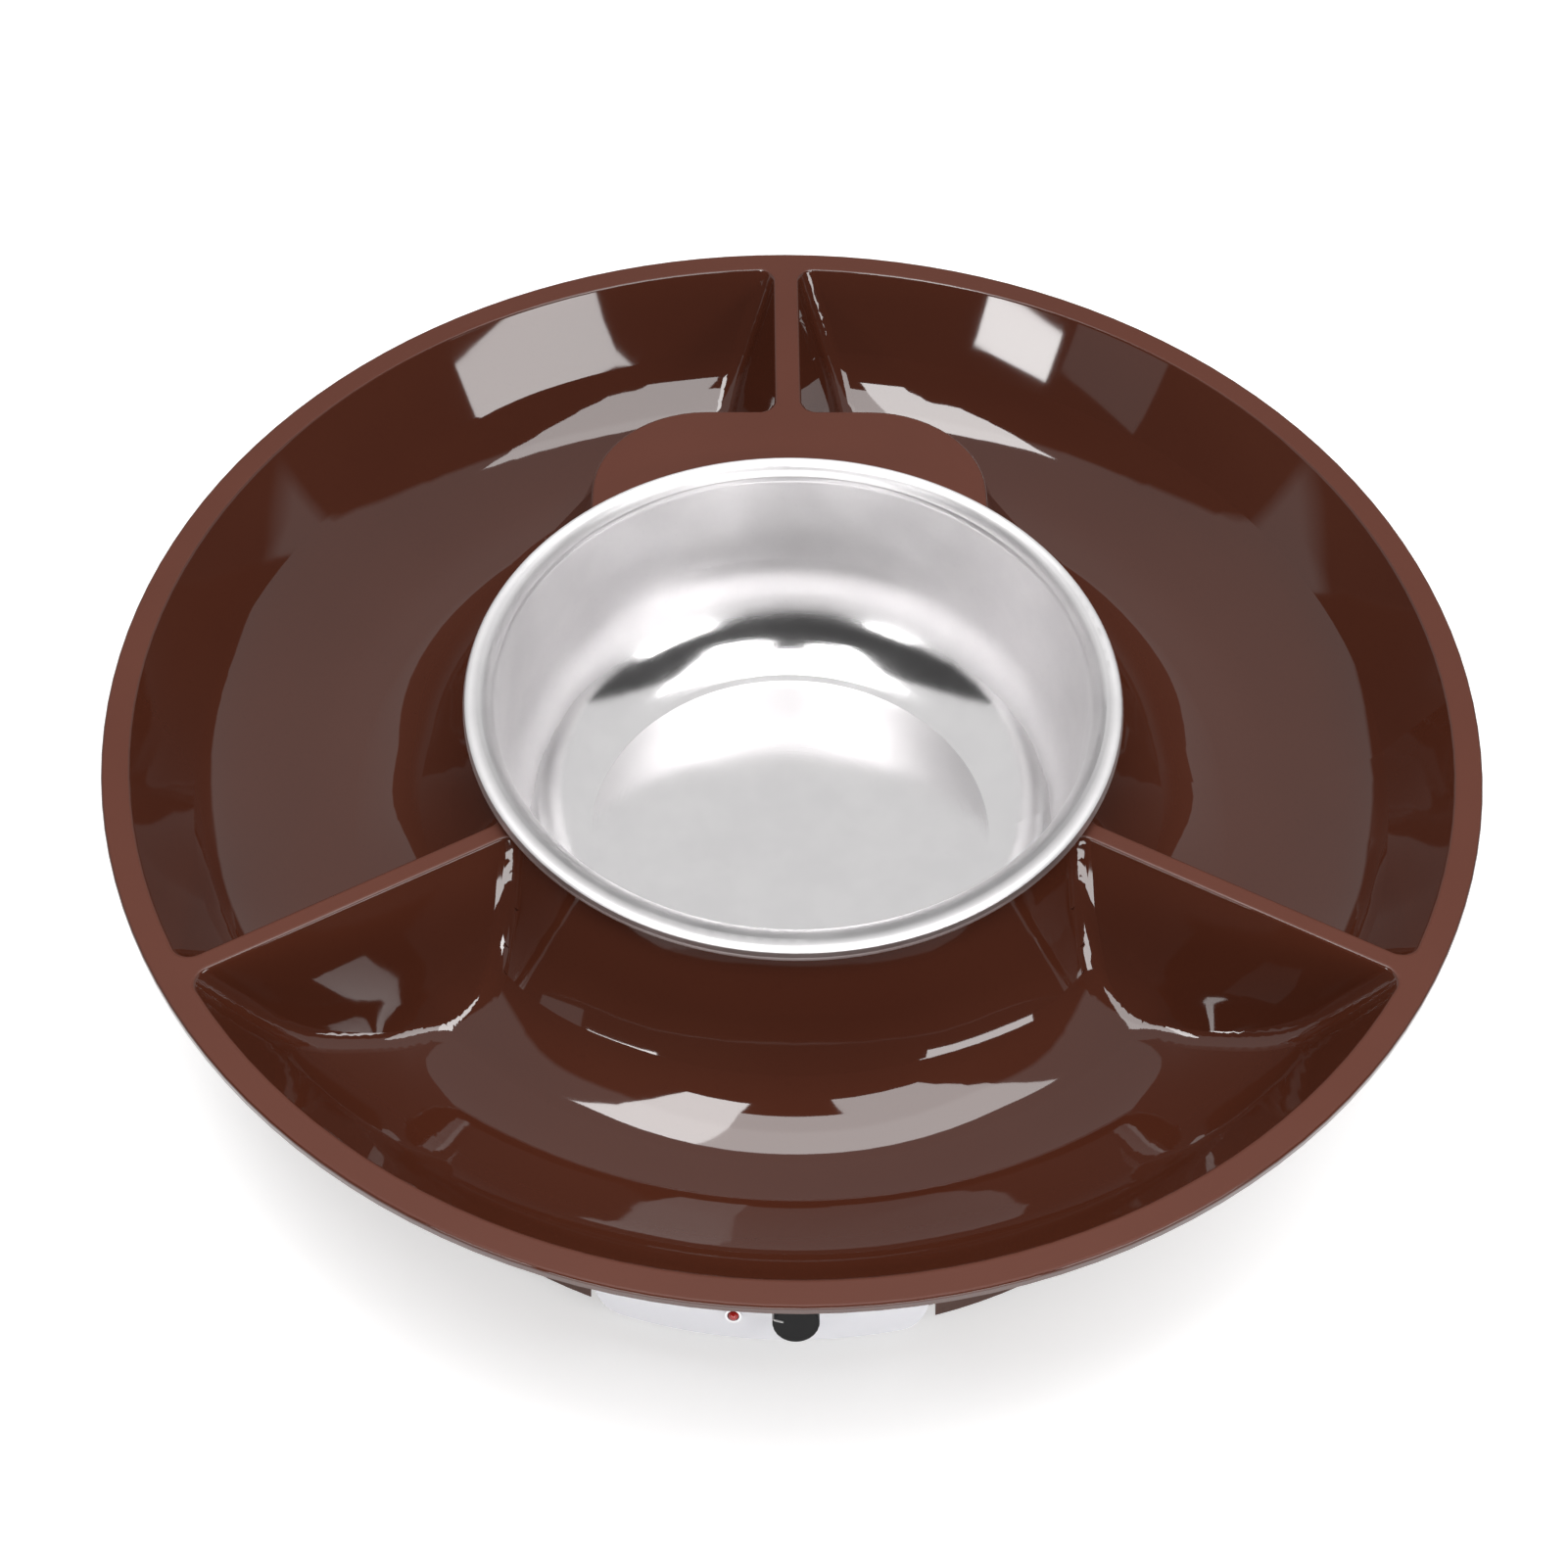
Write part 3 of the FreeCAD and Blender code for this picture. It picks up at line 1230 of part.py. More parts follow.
def make_lead(label, runs, radius, bend):
    lead = doc.addObject("Part::Feature", label)
    solids = [tube(points, number(radius), number(bend)) for points in runs]
    lead.Shape = solids[0] if len(solids) == 1 else Part.makeCompound(solids)
    return finish(lead, label)


def make_leads():
    """Leads in a loop: block, switch, thermostat, element, fuse and back to the block."""
    low, gap = number("d.lead_height"), number("d.lead_gap")
    way = number("d.block_length / 4")
    way_end = number("d.block_place - d.block_width / 5")
    exit_place, side = number("d.lead_exit"), number("d.lead_side")
    tab = number("d.switch_side / 4")
    tab_end = number("d.seat_depth + d.switch_depth + d.tab_length + d.tab_wall / 2 + d.lead_gap")
    tab_point = knob_frame().multVec(vector(tab, 0, -tab_end))
    tab_turn = tab_point.y + number("d.lead_turn")
    tab_level = tab_point.z
    make_lead("supply_lead", [[
        vector(-way, way_end, low),
        vector(-way, exit_place, low),
        vector(-side, number("d.lead_turn"), low),
        vector(-side, -exit_place, low),
        vector(-tab, tab_turn, tab_level),
        vector(-tab, tab_point.y, tab_level),
    ]], "d.lead_radius", "d.lead_bend")

    case_x = -number("d.thermostat_offset")
    case_y = case_x / 2
    blade = number("d.thermostat_radius / 2")
    face = number("d.terminal_wall / 2") + gap
    blade_level = number(
        f"{SHIELD_UNDER} - d.thermostat_height - d.thermostat_neck - d.terminal_hold")
    make_lead("switch_lead", [[
        vector(tab, tab_point.y, tab_level),
        vector(tab, tab_turn, tab_level),
        vector(case_x, -exit_place, blade_level),
        vector(case_x, case_y - blade - face, blade_level),
    ]], "d.lead_radius", "d.lead_bend")

    post_x, post_y = number("d.terminal_pitch / 2"), number("d.terminal_place")
    post_level = number(f"{SHIELD_UNDER} - d.terminal_hold")
    reach = number("d.lead_turn / 2")
    make_lead("thermostat_lead", [[
        vector(case_x, case_y + blade + face, blade_level),
        vector(case_x, reach / 2, blade_level),
        vector(-post_x, post_y - reach, post_level),
        vector(-post_x, post_y - face, post_level),
    ]], "d.lead_radius", "d.lead_bend")

    fuse_y = -number("d.fuse_offset / 2")
    fuse_level = number(f"{SHIELD_UNDER} - d.fuse_radius - d.fuse_gap")
    fuse_start = number("d.fuse_offset - d.fuse_length / 2") - gap
    fuse_end = number("d.fuse_offset + d.fuse_length / 2") + gap
    make_lead("element_lead", [[
        vector(post_x, post_y - face, post_level),
        vector(post_x, post_x, post_level),
        vector(0, fuse_y, fuse_level),
        vector(fuse_start, fuse_y, fuse_level),
    ]], "d.lead_radius", "d.lead_bend")
    make_lead("fuse_lead", [[
        vector(fuse_end, fuse_y, fuse_level),
        vector(fuse_end + reach, fuse_y, fuse_level),
        vector(fuse_end + reach, 2 * reach, low),
        vector(way, exit_place, low),
        vector(way, way_end, low),
    ]], "d.lead_radius", "d.lead_bend")

    lamp_runs, spread = [], number("d.lamp_lead_spread")
    for sign in (-1, 1):
        across = sign * number("d.lamp_lead_radius + d.lamp_lead_gap / 2")
        back = number("-(d.seat_depth + d.lamp_tail + d.lead_gap)")
        lamp_runs.append([
            lamp_frame().multVec(vector(across, 0, back)),
            lamp_frame().multVec(vector(across, 0, back - number("d.lead_bend"))),
            vector(across - reach / 2, -exit_place, blade_level + reach / 4),
            vector(sign * spread, fuse_y, post_level - reach / 4),
            vector(sign * spread, post_y, post_level),
            vector(sign * (post_x - number("d.terminal_width / 2") - gap), post_y, post_level),
        ])
    make_lead("lamp_leads", lamp_runs, "d.lamp_lead_radius", "d.lead_bend / 2")


for make_piece in (make_serving_tray, make_melting_pot, make_base_housing, make_bottom_cover,
                   make_base_screws, make_rubber_feet, make_heating_plate, make_plate_seal):
    make_piece()
make_disc("heating_element", "d.element_radius", ELEMENT_UNDER, PLATE_UNDER, False)
make_disc("insulation_pad", "d.element_radius + d.pad_overlap", PAD_UNDER, ELEMENT_UNDER, True)
for make_piece in (make_element_terminals, make_heat_shield, make_shield_screws, make_thermostat,
                   make_thermal_fuse, make_fuse_clamp, make_control_panel, make_control_knob,
                   make_knob_shaft, make_switch_collar, make_rotary_switch, make_switch_tabs,
                   make_indicator, make_cord_gland, make_terminal_block, make_terminal_screws,
                   make_leads):
    make_piece()

doc.recompute()
for item in doc.Objects:
    if "Invalid" in item.State or "Error" in item.State:
        raise RuntimeError(f"{item.Label} failed: {item.State}")
for piece in finished:
    if piece.Shape.isNull() or not piece.Shape.isValid():
        raise RuntimeError(f"{piece.Label} has no valid shape")

os.makedirs("parts", exist_ok=True)
for piece in finished:
    piece.Shape.exportStep(f"parts/{piece.Label}.step")
    print(piece.Label, len(piece.Shape.Solids), round(piece.Shape.Volume, 1))
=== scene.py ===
import json
import math

import bpy
import numpy as np
from mathutils import Matrix, Vector


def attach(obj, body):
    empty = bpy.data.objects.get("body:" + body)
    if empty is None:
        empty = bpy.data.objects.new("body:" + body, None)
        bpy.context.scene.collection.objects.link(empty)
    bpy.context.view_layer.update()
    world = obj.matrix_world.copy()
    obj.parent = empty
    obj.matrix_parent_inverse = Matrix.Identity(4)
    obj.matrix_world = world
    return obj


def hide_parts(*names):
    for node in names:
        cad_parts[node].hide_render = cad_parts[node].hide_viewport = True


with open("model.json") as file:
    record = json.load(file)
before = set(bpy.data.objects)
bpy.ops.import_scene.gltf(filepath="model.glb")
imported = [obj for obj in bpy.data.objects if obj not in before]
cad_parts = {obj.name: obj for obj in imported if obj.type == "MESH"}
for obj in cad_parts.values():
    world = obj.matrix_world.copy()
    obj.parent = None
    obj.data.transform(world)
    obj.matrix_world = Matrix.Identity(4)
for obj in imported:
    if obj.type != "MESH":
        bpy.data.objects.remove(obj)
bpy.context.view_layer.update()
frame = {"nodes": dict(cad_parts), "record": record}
nodes = frame["nodes"]

TRAY_TOP = 0.082

# The photograph's side and focal length in pixels, the camera's place in metres and its turns in degrees
PHOTO_SIDE = 1601
PHOTO_FOCAL_LENGTH = 2960.18
CAMERA_PLACE = (-0.012462, -0.418151, 0.561061)
CAMERA_HEADING, CAMERA_TILT, CAMERA_ROLL = -1.4777, 39.4997, 1.0972


# Node helpers

def socket(holder, name):
    return [item for item in holder if item.name == name][0]


def add_node(tree, kind, inputs=None, **settings):
    node = tree.nodes.new(kind)
    for name, value in settings.items():
        setattr(node, name, value)
    for name, value in (inputs or {}).items():
        target = node.inputs[name] if isinstance(name, int) else socket(node.inputs, name)
        if isinstance(value, bpy.types.NodeSocket):
            tree.links.new(value, target)
        else:
            target.default_value = value
    return node


def arithmetic(tree, operation, first, second=None, clamp=False):
    inputs = {0: first}
    if second is not None:
        inputs[1] = second
    return add_node(tree, "ShaderNodeMath", inputs, operation=operation, use_clamp=clamp).outputs[0]


def noise(tree, vector, scale, detail=2.0, roughness=0.5):
    inputs = {"Vector": vector, "Scale": scale, "Detail": detail, "Roughness": roughness}
    return add_node(tree, "ShaderNodeTexNoise", inputs).outputs["Fac"]


def span(tree, value, low, high, out_low, out_high, smooth=False):
    inputs = {"Value": value, "From Min": low, "From Max": high, "To Min": out_low, "To Max": out_high}
    kind = "SMOOTHSTEP" if smooth else "LINEAR"
    return add_node(tree, "ShaderNodeMapRange", inputs, interpolation_type=kind).outputs["Result"]


def blend_colour(tree, share, first, second):
    """A colour between two others; inputs 0, 6 and 7 of the node are its factor and its two colours."""
    node = add_node(tree, "ShaderNodeMix", data_type="RGBA")
    for index, value in ((0, share), (6, first), (7, second)):
        if isinstance(value, bpy.types.NodeSocket):
            tree.links.new(value, node.inputs[index])
        else:
            node.inputs[index].default_value = value
    return node.outputs[2]


def place(tree):
    return add_node(tree, "ShaderNodeTexCoord").outputs["Object"]


def new_group(name, inputs, outputs):
    tree = bpy.data.node_groups.new(name, "ShaderNodeTree")
    for label, kind, value in inputs:
        entry = tree.interface.new_socket(label, in_out="INPUT", socket_type=kind)
        entry.default_value = value
    for label, kind in outputs:
        tree.interface.new_socket(label, in_out="OUTPUT", socket_type=kind)
    return tree, tree.nodes.new("NodeGroupInput").outputs, tree.nodes.new("NodeGroupOutput").inputs


def use_group(tree, group, **values):
    node = tree.nodes.new("ShaderNodeGroup")
    node.node_tree = group
    for name, value in values.items():
        target = node.inputs[name.replace("_", " ")]
        if isinstance(value, bpy.types.NodeSocket):
            tree.links.new(value, target)
        else:
            target.default_value = value
    return node.outputs


NUMBER, COLOUR = "NodeSocketFloat", "NodeSocketColor"


def make_pigment_group():
    """Colour that drifts softly over a moulding, with a few fine specks."""
    tree, given, out = new_group(
        "pigment", [("Colour", COLOUR, (1, 1, 1, 1)), ("Shade", COLOUR, (0, 0, 0, 1)),
                    ("Cloud", NUMBER, 30.0), ("Amount", NUMBER, 0.5)], [("Colour", COLOUR)])
    where = place(tree)
    cloud = span(tree, noise(tree, where, given["Cloud"], 3.0), 0.35, 0.65, 0.0, 1.0)
    fleck = span(tree, noise(tree, where, 900.0, 1.0), 0.62, 0.78, 0.0, 0.5)
    share = arithmetic(tree, "MULTIPLY", arithmetic(tree, "ADD", cloud, fleck, True), given["Amount"])
    tree.links.new(blend_colour(tree, share, given["Colour"], given["Shade"]), out["Colour"])
    return tree


def make_handling_group():
    """Roughness between two values: clean gloss with faint wiped patches."""
    tree, given, out = new_group(
        "handling", [("Clean", NUMBER, 0.1), ("Worn", NUMBER, 0.3), ("Patch", NUMBER, 40.0)],
        [("Roughness", NUMBER)])
    patches = span(tree, noise(tree, place(tree), given["Patch"], 4.0, 0.6), 0.4, 0.75, 0.0, 1.0)
    tree.links.new(span(tree, patches, 0.0, 1.0, given["Clean"], given["Worn"]), out["Roughness"])
    return tree


def make_grain_group():
    """Fine moulded or cast grain as a height."""
    tree, given, out = new_group("grain", [("Scale", NUMBER, 2000.0)], [("Height", NUMBER)])
    tree.links.new(noise(tree, place(tree), given["Scale"], 3.0), out["Height"])
    return tree


def make_spun_group():
    """Fine rings left by turning or spinning round the upright axis, as a height."""
    tree, given, out = new_group(
        "spun_lines", [("Pitch", NUMBER, 4000.0), ("Fleck", NUMBER, 2500.0), ("Fleck Share", NUMBER, 0.4)],
        [("Height", NUMBER)])
    where = place(tree)
    parts = add_node(tree, "ShaderNodeSeparateXYZ", {"Vector": where}).outputs
    squares = arithmetic(tree, "ADD", arithmetic(tree, "MULTIPLY", parts[0], parts[0]),
                         arithmetic(tree, "MULTIPLY", parts[1], parts[1]))
    along = arithmetic(tree, "ADD", arithmetic(tree, "SQRT", squares), parts[2])
    ring = add_node(tree, "ShaderNodeTexNoise", {"W": along, "Scale": given["Pitch"], "Detail": 2.0},
                    noise_dimensions="1D").outputs["Fac"]
    fleck = noise(tree, where, given["Fleck"], 2.0)
    tree.links.new(span(tree, given["Fleck Share"], 0.0, 1.0, ring, fleck), out["Height"])
    return tree


PIGMENT = make_pigment_group()
HANDLING = make_handling_group()
GRAIN = make_grain_group()
SPUN = make_spun_group()


# Finishes

def new_finish(name):
    material = bpy.data.materials.new(name)
    material.use_nodes = True
    tree = material.node_tree
    return material, tree, tree.nodes["Principled BSDF"]


def wire(tree, surface, name, value):
    tree.links.new(value, surface.inputs[name])


def relief(tree, surface, height, distance):
    bump = add_node(tree, "ShaderNodeBump", {"Height": height, "Distance": distance, "Strength": 1.0})
    wire(tree, surface, "Normal", bump.outputs["Normal"])


def moulded(name, colour, shade, clean, worn, grain=2500.0, depth=4e-6, cloud=30.0, amount=0.5, ior=1.5):
    """A moulded plastic or rubber."""
    material, tree, surface = new_finish(name)
    wire(tree, surface, "Base Color", use_group(tree, PIGMENT, Colour=(*colour, 1), Shade=(*shade, 1),
                                                Cloud=cloud, Amount=amount)["Colour"])
    wire(tree, surface, "Roughness", use_group(tree, HANDLING, Clean=clean, Worn=worn)["Roughness"])
    relief(tree, surface, use_group(tree, GRAIN, Scale=grain)["Height"], depth)
    surface.inputs["IOR"].default_value = ior
    return material


def metal(name, colour, shade, clean, worn, pitch=4000.0, fleck_share=0.4, depth=4e-6):
    """A bare or plated metal with turned rings and flecks."""
    material, tree, surface = new_finish(name)
    wire(tree, surface, "Base Color", use_group(tree, PIGMENT, Colour=(*colour, 1), Shade=(*shade, 1),
                                                Cloud=60.0, Amount=0.6)["Colour"])
    wire(tree, surface, "Roughness", use_group(tree, HANDLING, Clean=clean, Worn=worn)["Roughness"])
    height = use_group(tree, SPUN, Pitch=pitch, Fleck_Share=fleck_share)["Height"]
    relief(tree, surface, height, depth)
    surface.inputs["Metallic"].default_value = 1.0
    return material


SATIN_EDGE = (0.00022, 0.00004)


def tray_finish():
    """Mirror-gloss brown inside the compartments, satin on the rim, the dividers' tops and the land."""
    material, tree, surface = new_finish("tray_gloss_brown")
    where = place(tree)
    height = add_node(tree, "ShaderNodeSeparateXYZ", {"Vector": where}).outputs["Z"]
    level = span(tree, height, TRAY_TOP - SATIN_EDGE[0], TRAY_TOP - SATIN_EDGE[1], 0.0, 1.0)
    gloss = use_group(tree, PIGMENT, Colour=(0.064, 0.0172, 0.0088, 1), Shade=(0.052, 0.0125, 0.0062, 1),
                      Cloud=12.0, Amount=0.5)["Colour"]
    satin = use_group(tree, PIGMENT, Colour=(0.094, 0.0242, 0.0124, 1), Shade=(0.085, 0.0211, 0.0105, 1),
                      Cloud=25.0, Amount=0.6)["Colour"]
    wire(tree, surface, "Base Color", blend_colour(tree, level, gloss, satin))
    shiny = use_group(tree, HANDLING, Clean=0.03, Worn=0.05, Patch=25.0)["Roughness"]
    dull = use_group(tree, HANDLING, Clean=0.48, Worn=0.58, Patch=60.0)["Roughness"]
    wire(tree, surface, "Roughness", span(tree, level, 0.0, 1.0, shiny, dull))
    grain = use_group(tree, GRAIN, Scale=3500.0)["Height"]
    wave = arithmetic(tree, "MULTIPLY", noise(tree, where, 28.0, 1.0), 6.0)
    relief(tree, surface, arithmetic(tree, "ADD", wave, arithmetic(tree, "MULTIPLY", grain, level)), 6e-6)
    wire(tree, surface, "Specular IOR Level", span(tree, level, 0.0, 1.0, 0.5, 0.25))
    surface.inputs["IOR"].default_value = 1.55
    return material


POT_RELIEF, RIM_DISH = 8e-6, 0.6
WALL_FOOT, RIM_RISE = (0.043, 0.049), (0.0855, 0.0865)


def pot_finish():
    """Pressed steel: a brushed wall, a rim dished inwards, and a finer finish below the wall's foot."""
    material, tree, surface = new_finish("pot_satin_steel")
    parts = add_node(tree, "ShaderNodeSeparateXYZ", {"Vector": place(tree)}).outputs
    height = parts["Z"]
    squares = arithmetic(tree, "ADD", arithmetic(tree, "MULTIPLY", parts["X"], parts["X"]),
                         arithmetic(tree, "MULTIPLY", parts["Y"], parts["Y"]))
    radius = arithmetic(tree, "SQRT", squares)
    brushed = span(tree, height, *WALL_FOOT, 0.0, 1.0, True)
    colour = use_group(tree, PIGMENT, Colour=(0.90, 0.885, 0.89, 1), Shade=(0.83, 0.815, 0.825, 1),
                       Cloud=90.0, Amount=0.5)["Colour"]
    wire(tree, surface, "Base Color", colour)
    fine = use_group(tree, HANDLING, Clean=0.11, Worn=0.16, Patch=60.0)["Roughness"]
    coarse = use_group(tree, HANDLING, Clean=0.42, Worn=0.50, Patch=60.0)["Roughness"]
    wire(tree, surface, "Roughness", span(tree, brushed, 0.0, 1.0, fine, coarse))
    lines = use_group(tree, SPUN, Pitch=3000.0, Fleck=2200.0, Fleck_Share=0.4)["Height"]
    inward = span(tree, height, *RIM_RISE, 0.0, RIM_DISH / POT_RELIEF)
    dish = arithmetic(tree, "MULTIPLY", inward, radius)
    relief(tree, surface, arithmetic(tree, "ADD", lines, dish), POT_RELIEF)
    surface.inputs["Metallic"].default_value = 1.0
    return material


KNOB_UP, POINTER_ANGLE = (0.375, 0.927), 164.0
LINE_OFF_CENTRE, LINE_HALF_WIDTH, LINE_START = 0.0003, (0.00013, 0.00017), (0.0026, 0.0028)
LINE_COLOUR = (0.7, 0.7, 0.7, 1)


def knob_finish():
    """Satin black cap with a thin pale line beside its pointer groove."""
    material = moulded("knob_satin_black", (0.006, 0.006, 0.0065), (0.004, 0.004, 0.0045), 0.42, 0.55,
                       grain=4000.0, depth=1e-5, cloud=200.0)
    tree = material.node_tree
    surface = tree.nodes["Principled BSDF"]
    parts = add_node(tree, "ShaderNodeSeparateXYZ", {"Vector": place(tree)}).outputs
    rise = arithmetic(tree, "ADD", arithmetic(tree, "MULTIPLY", parts["Y"], KNOB_UP[0]),
                      arithmetic(tree, "MULTIPLY", parts["Z"], KNOB_UP[1]))
    corners = nodes["control_knob"].data.vertices
    rises = [corner.co[1] * KNOB_UP[0] + corner.co[2] * KNOB_UP[1] for corner in corners]
    rise = arithmetic(tree, "SUBTRACT", rise, (min(rises) + max(rises)) / 2)
    cosine, sine = math.cos(math.radians(POINTER_ANGLE)), math.sin(math.radians(POINTER_ANGLE))
    along = arithmetic(tree, "ADD", arithmetic(tree, "MULTIPLY", parts["X"], cosine),
                       arithmetic(tree, "MULTIPLY", rise, sine))
    below = arithmetic(tree, "SUBTRACT", arithmetic(tree, "MULTIPLY", parts["X"], sine),
                       arithmetic(tree, "MULTIPLY", rise, cosine))
    above = arithmetic(tree, "MULTIPLY", below, -1.0)
    off = arithmetic(tree, "ABSOLUTE", arithmetic(tree, "SUBTRACT", above, LINE_OFF_CENTRE))
    line = arithmetic(tree, "MULTIPLY", span(tree, off, *LINE_HALF_WIDTH, 1.0, 0.0),
                      span(tree, along, *LINE_START, 0.0, 1.0))
    colour = surface.inputs["Base Color"].links[0].from_socket
    wire(tree, surface, "Base Color", blend_colour(tree, line, colour, LINE_COLOUR))
    surface.inputs["Specular IOR Level"].default_value = 0.2
    return material


def lens_finish():
    """Red dome with mottled colour under a clear coat."""
    material, tree, surface = new_finish("lamp_red_lens")
    colour = use_group(tree, PIGMENT, Colour=(0.55, 0.018, 0.012, 1), Shade=(0.30, 0.008, 0.006, 1),
                       Cloud=400.0, Amount=0.6)["Colour"]
    wire(tree, surface, "Base Color", colour)
    wire(tree, surface, "Roughness", use_group(tree, HANDLING, Clean=0.06, Worn=0.12)["Roughness"])
    relief(tree, surface, use_group(tree, GRAIN, Scale=1500.0)["Height"], 1e-5)
    surface.inputs["Coat Weight"].default_value = 0.5
    return material


FINISHES = {
    "tray_brown": tray_finish(),
    "base_brown": moulded("base_semi_gloss_brown", (0.070, 0.026, 0.016), (0.058, 0.020, 0.012), 0.16, 0.24,
                          cloud=20.0),
    "panel_white": moulded("panel_gloss_white", (0.86, 0.86, 0.90), (0.82, 0.82, 0.86), 0.06, 0.12,
                           cloud=50.0),
    "knob_black": knob_finish(),
    "pot_steel": pot_finish(),
    "plate_aluminium": metal("plate_turned_aluminium", (0.70, 0.70, 0.71), (0.60, 0.60, 0.61), 0.28, 0.4,
                             pitch=1500.0, fleck_share=0.2, depth=1e-5),
    "bright_metal": metal("bright_nickel", (0.80, 0.79, 0.80), (0.72, 0.71, 0.72), 0.08, 0.16),
    "zinc_steel": metal("zinc_plate", (0.62, 0.62, 0.58), (0.52, 0.52, 0.47), 0.3, 0.42, fleck_share=0.8),
    "shield_steel": metal("aluminised_sheet", (0.60, 0.60, 0.60), (0.50, 0.50, 0.50), 0.3, 0.45,
                          fleck_share=0.95, depth=8e-6),
    "foot_rubber": moulded("foot_black_rubber", (0.022, 0.022, 0.023), (0.035, 0.034, 0.033), 0.6, 0.75,
                           grain=1800.0, depth=2e-5),
    "seal_silicone": moulded("seal_red_silicone", (0.42, 0.045, 0.022), (0.34, 0.035, 0.018), 0.45, 0.6),
    "element_mica": moulded("element_mica_sheet", (0.42, 0.31, 0.16), (0.28, 0.19, 0.09), 0.3, 0.5,
                            grain=900.0, depth=2e-5, cloud=120.0, amount=0.9),
    "pad_fibre": moulded("pad_ceramic_fibre", (0.74, 0.71, 0.63), (0.62, 0.58, 0.50), 0.85, 0.95,
                         grain=700.0, depth=8e-5, cloud=200.0, amount=0.9),
    "terminal_brass": metal("terminal_bright_brass", (0.70, 0.48, 0.18), (0.58, 0.37, 0.12), 0.2, 0.32,
                            fleck_share=0.9),
    "switch_plastic": moulded("switch_grey_plastic", (0.028, 0.028, 0.031), (0.018, 0.018, 0.020), 0.4, 0.55),
    "thermostat_ceramic": moulded("thermostat_cream_ceramic", (0.72, 0.64, 0.48), (0.64, 0.55, 0.39),
                                  0.35, 0.5, grain=1200.0, depth=1e-5),
    "fuse_sleeve": moulded("fuse_glass_sleeve", (0.60, 0.57, 0.48), (0.44, 0.41, 0.33), 0.7, 0.85,
                           grain=1500.0, depth=5e-5, cloud=600.0, amount=0.9),
    "block_nylon": moulded("block_natural_nylon", (0.74, 0.72, 0.64), (0.68, 0.65, 0.56), 0.4, 0.5),
    "gland_plastic": moulded("gland_black_plastic", (0.020, 0.019, 0.019), (0.030, 0.028, 0.027), 0.35, 0.5),
    "lamp_red": lens_finish(),
    "lead_brown": moulded("lead_brown_silicone", (0.085, 0.030, 0.014), (0.060, 0.020, 0.010), 0.5, 0.65),
    "lead_blue": moulded("lead_blue_silicone", (0.015, 0.040, 0.22), (0.010, 0.028, 0.16), 0.5, 0.65),
    "lead_white": moulded("lead_white_silicone", (0.70, 0.69, 0.66), (0.62, 0.61, 0.57), 0.5, 0.65),
}
for part in frame["record"]["subparts"]:
    nodes[part["node"]].material_slots[0].material = FINISHES[part["material_slot"]]


# Serving tray: the solid's moulding with the compartments as shallow and as open as in the photograph

# Depths, zones and reaches are in metres. A lean is the shift across for each metre of depth.
SOLID_DEPTH, FLOOR_DEPTH, FLATTEN = 0.046, 0.031, 1.3
BOWL_LEAN, BOWL_ZONE = 0.18, (0.100, 0.128)
HUB_LEAN, HUB_FLARE, HUB_ZONE = 0.2, 5.5, (0.070, 0.108)
DIVIDER_LEAN, DIVIDER_ZONE, DIVIDER_START = 0.16, (0.012, 0.045), 0.060
DIVIDER_TURNS = (90.0, -30.0, 210.0)
INNER_REACH, LEAST_UPWARD = (0.0684, 0.147), 0.02


def ease(value, low, high):
    share = np.clip((value - low) / (high - low), 0.0, 1.0)
    return share * share * (3.0 - 2.0 * share)


def reshape(points):
    """Places on the compartments' faces: less deep, with open walls and a hub that flares into the floor."""
    x, y, depth = points[:, 0], points[:, 1], TRAY_TOP - points[:, 2]
    for turn in DIVIDER_TURNS:
        cosine, sine = math.cos(math.radians(turn)), math.sin(math.radians(turn))
        along, off = x * cosine + y * sine, y * cosine - x * sine
        push = np.sign(off) * DIVIDER_LEAN * depth * (1.0 - ease(np.abs(off), *DIVIDER_ZONE))
        push *= ease(along, 0.0, DIVIDER_START)
        x, y = x - sine * push, y + cosine * push
    radius = np.hypot(x, y)
    flare = (HUB_LEAN + HUB_FLARE * depth) * (1.0 - ease(radius, *HUB_ZONE))
    share = (radius + (flare - BOWL_LEAN * ease(radius, *BOWL_ZONE)) * depth) / radius
    above = np.maximum(1.0 - depth / SOLID_DEPTH, 0.0)
    return np.stack([x * share, y * share, TRAY_TOP - FLOOR_DEPTH * (1.0 - above ** FLATTEN)], 1)


def reshape_normals(points, normals, step=1e-5):
    """Normals of the moved faces, from how the move stretches its surroundings."""
    steps = step * np.eye(3)
    along = [(reshape(points + move) - reshape(points - move)) / (2 * step) for move in steps]
    turned = sum(np.cross(along[n - 2], along[n - 1]) * normals[:, n:n + 1] for n in range(3))
    return turned / np.linalg.norm(turned, axis=1, keepdims=True)


def read(collection, name, width, kind=np.float64):
    """One attribute of a mesh as an array, a row for each item."""
    values = np.empty(len(collection) * width, kind)
    collection.foreach_get(name, values)
    return values.reshape(-1, width) if width > 1 else values


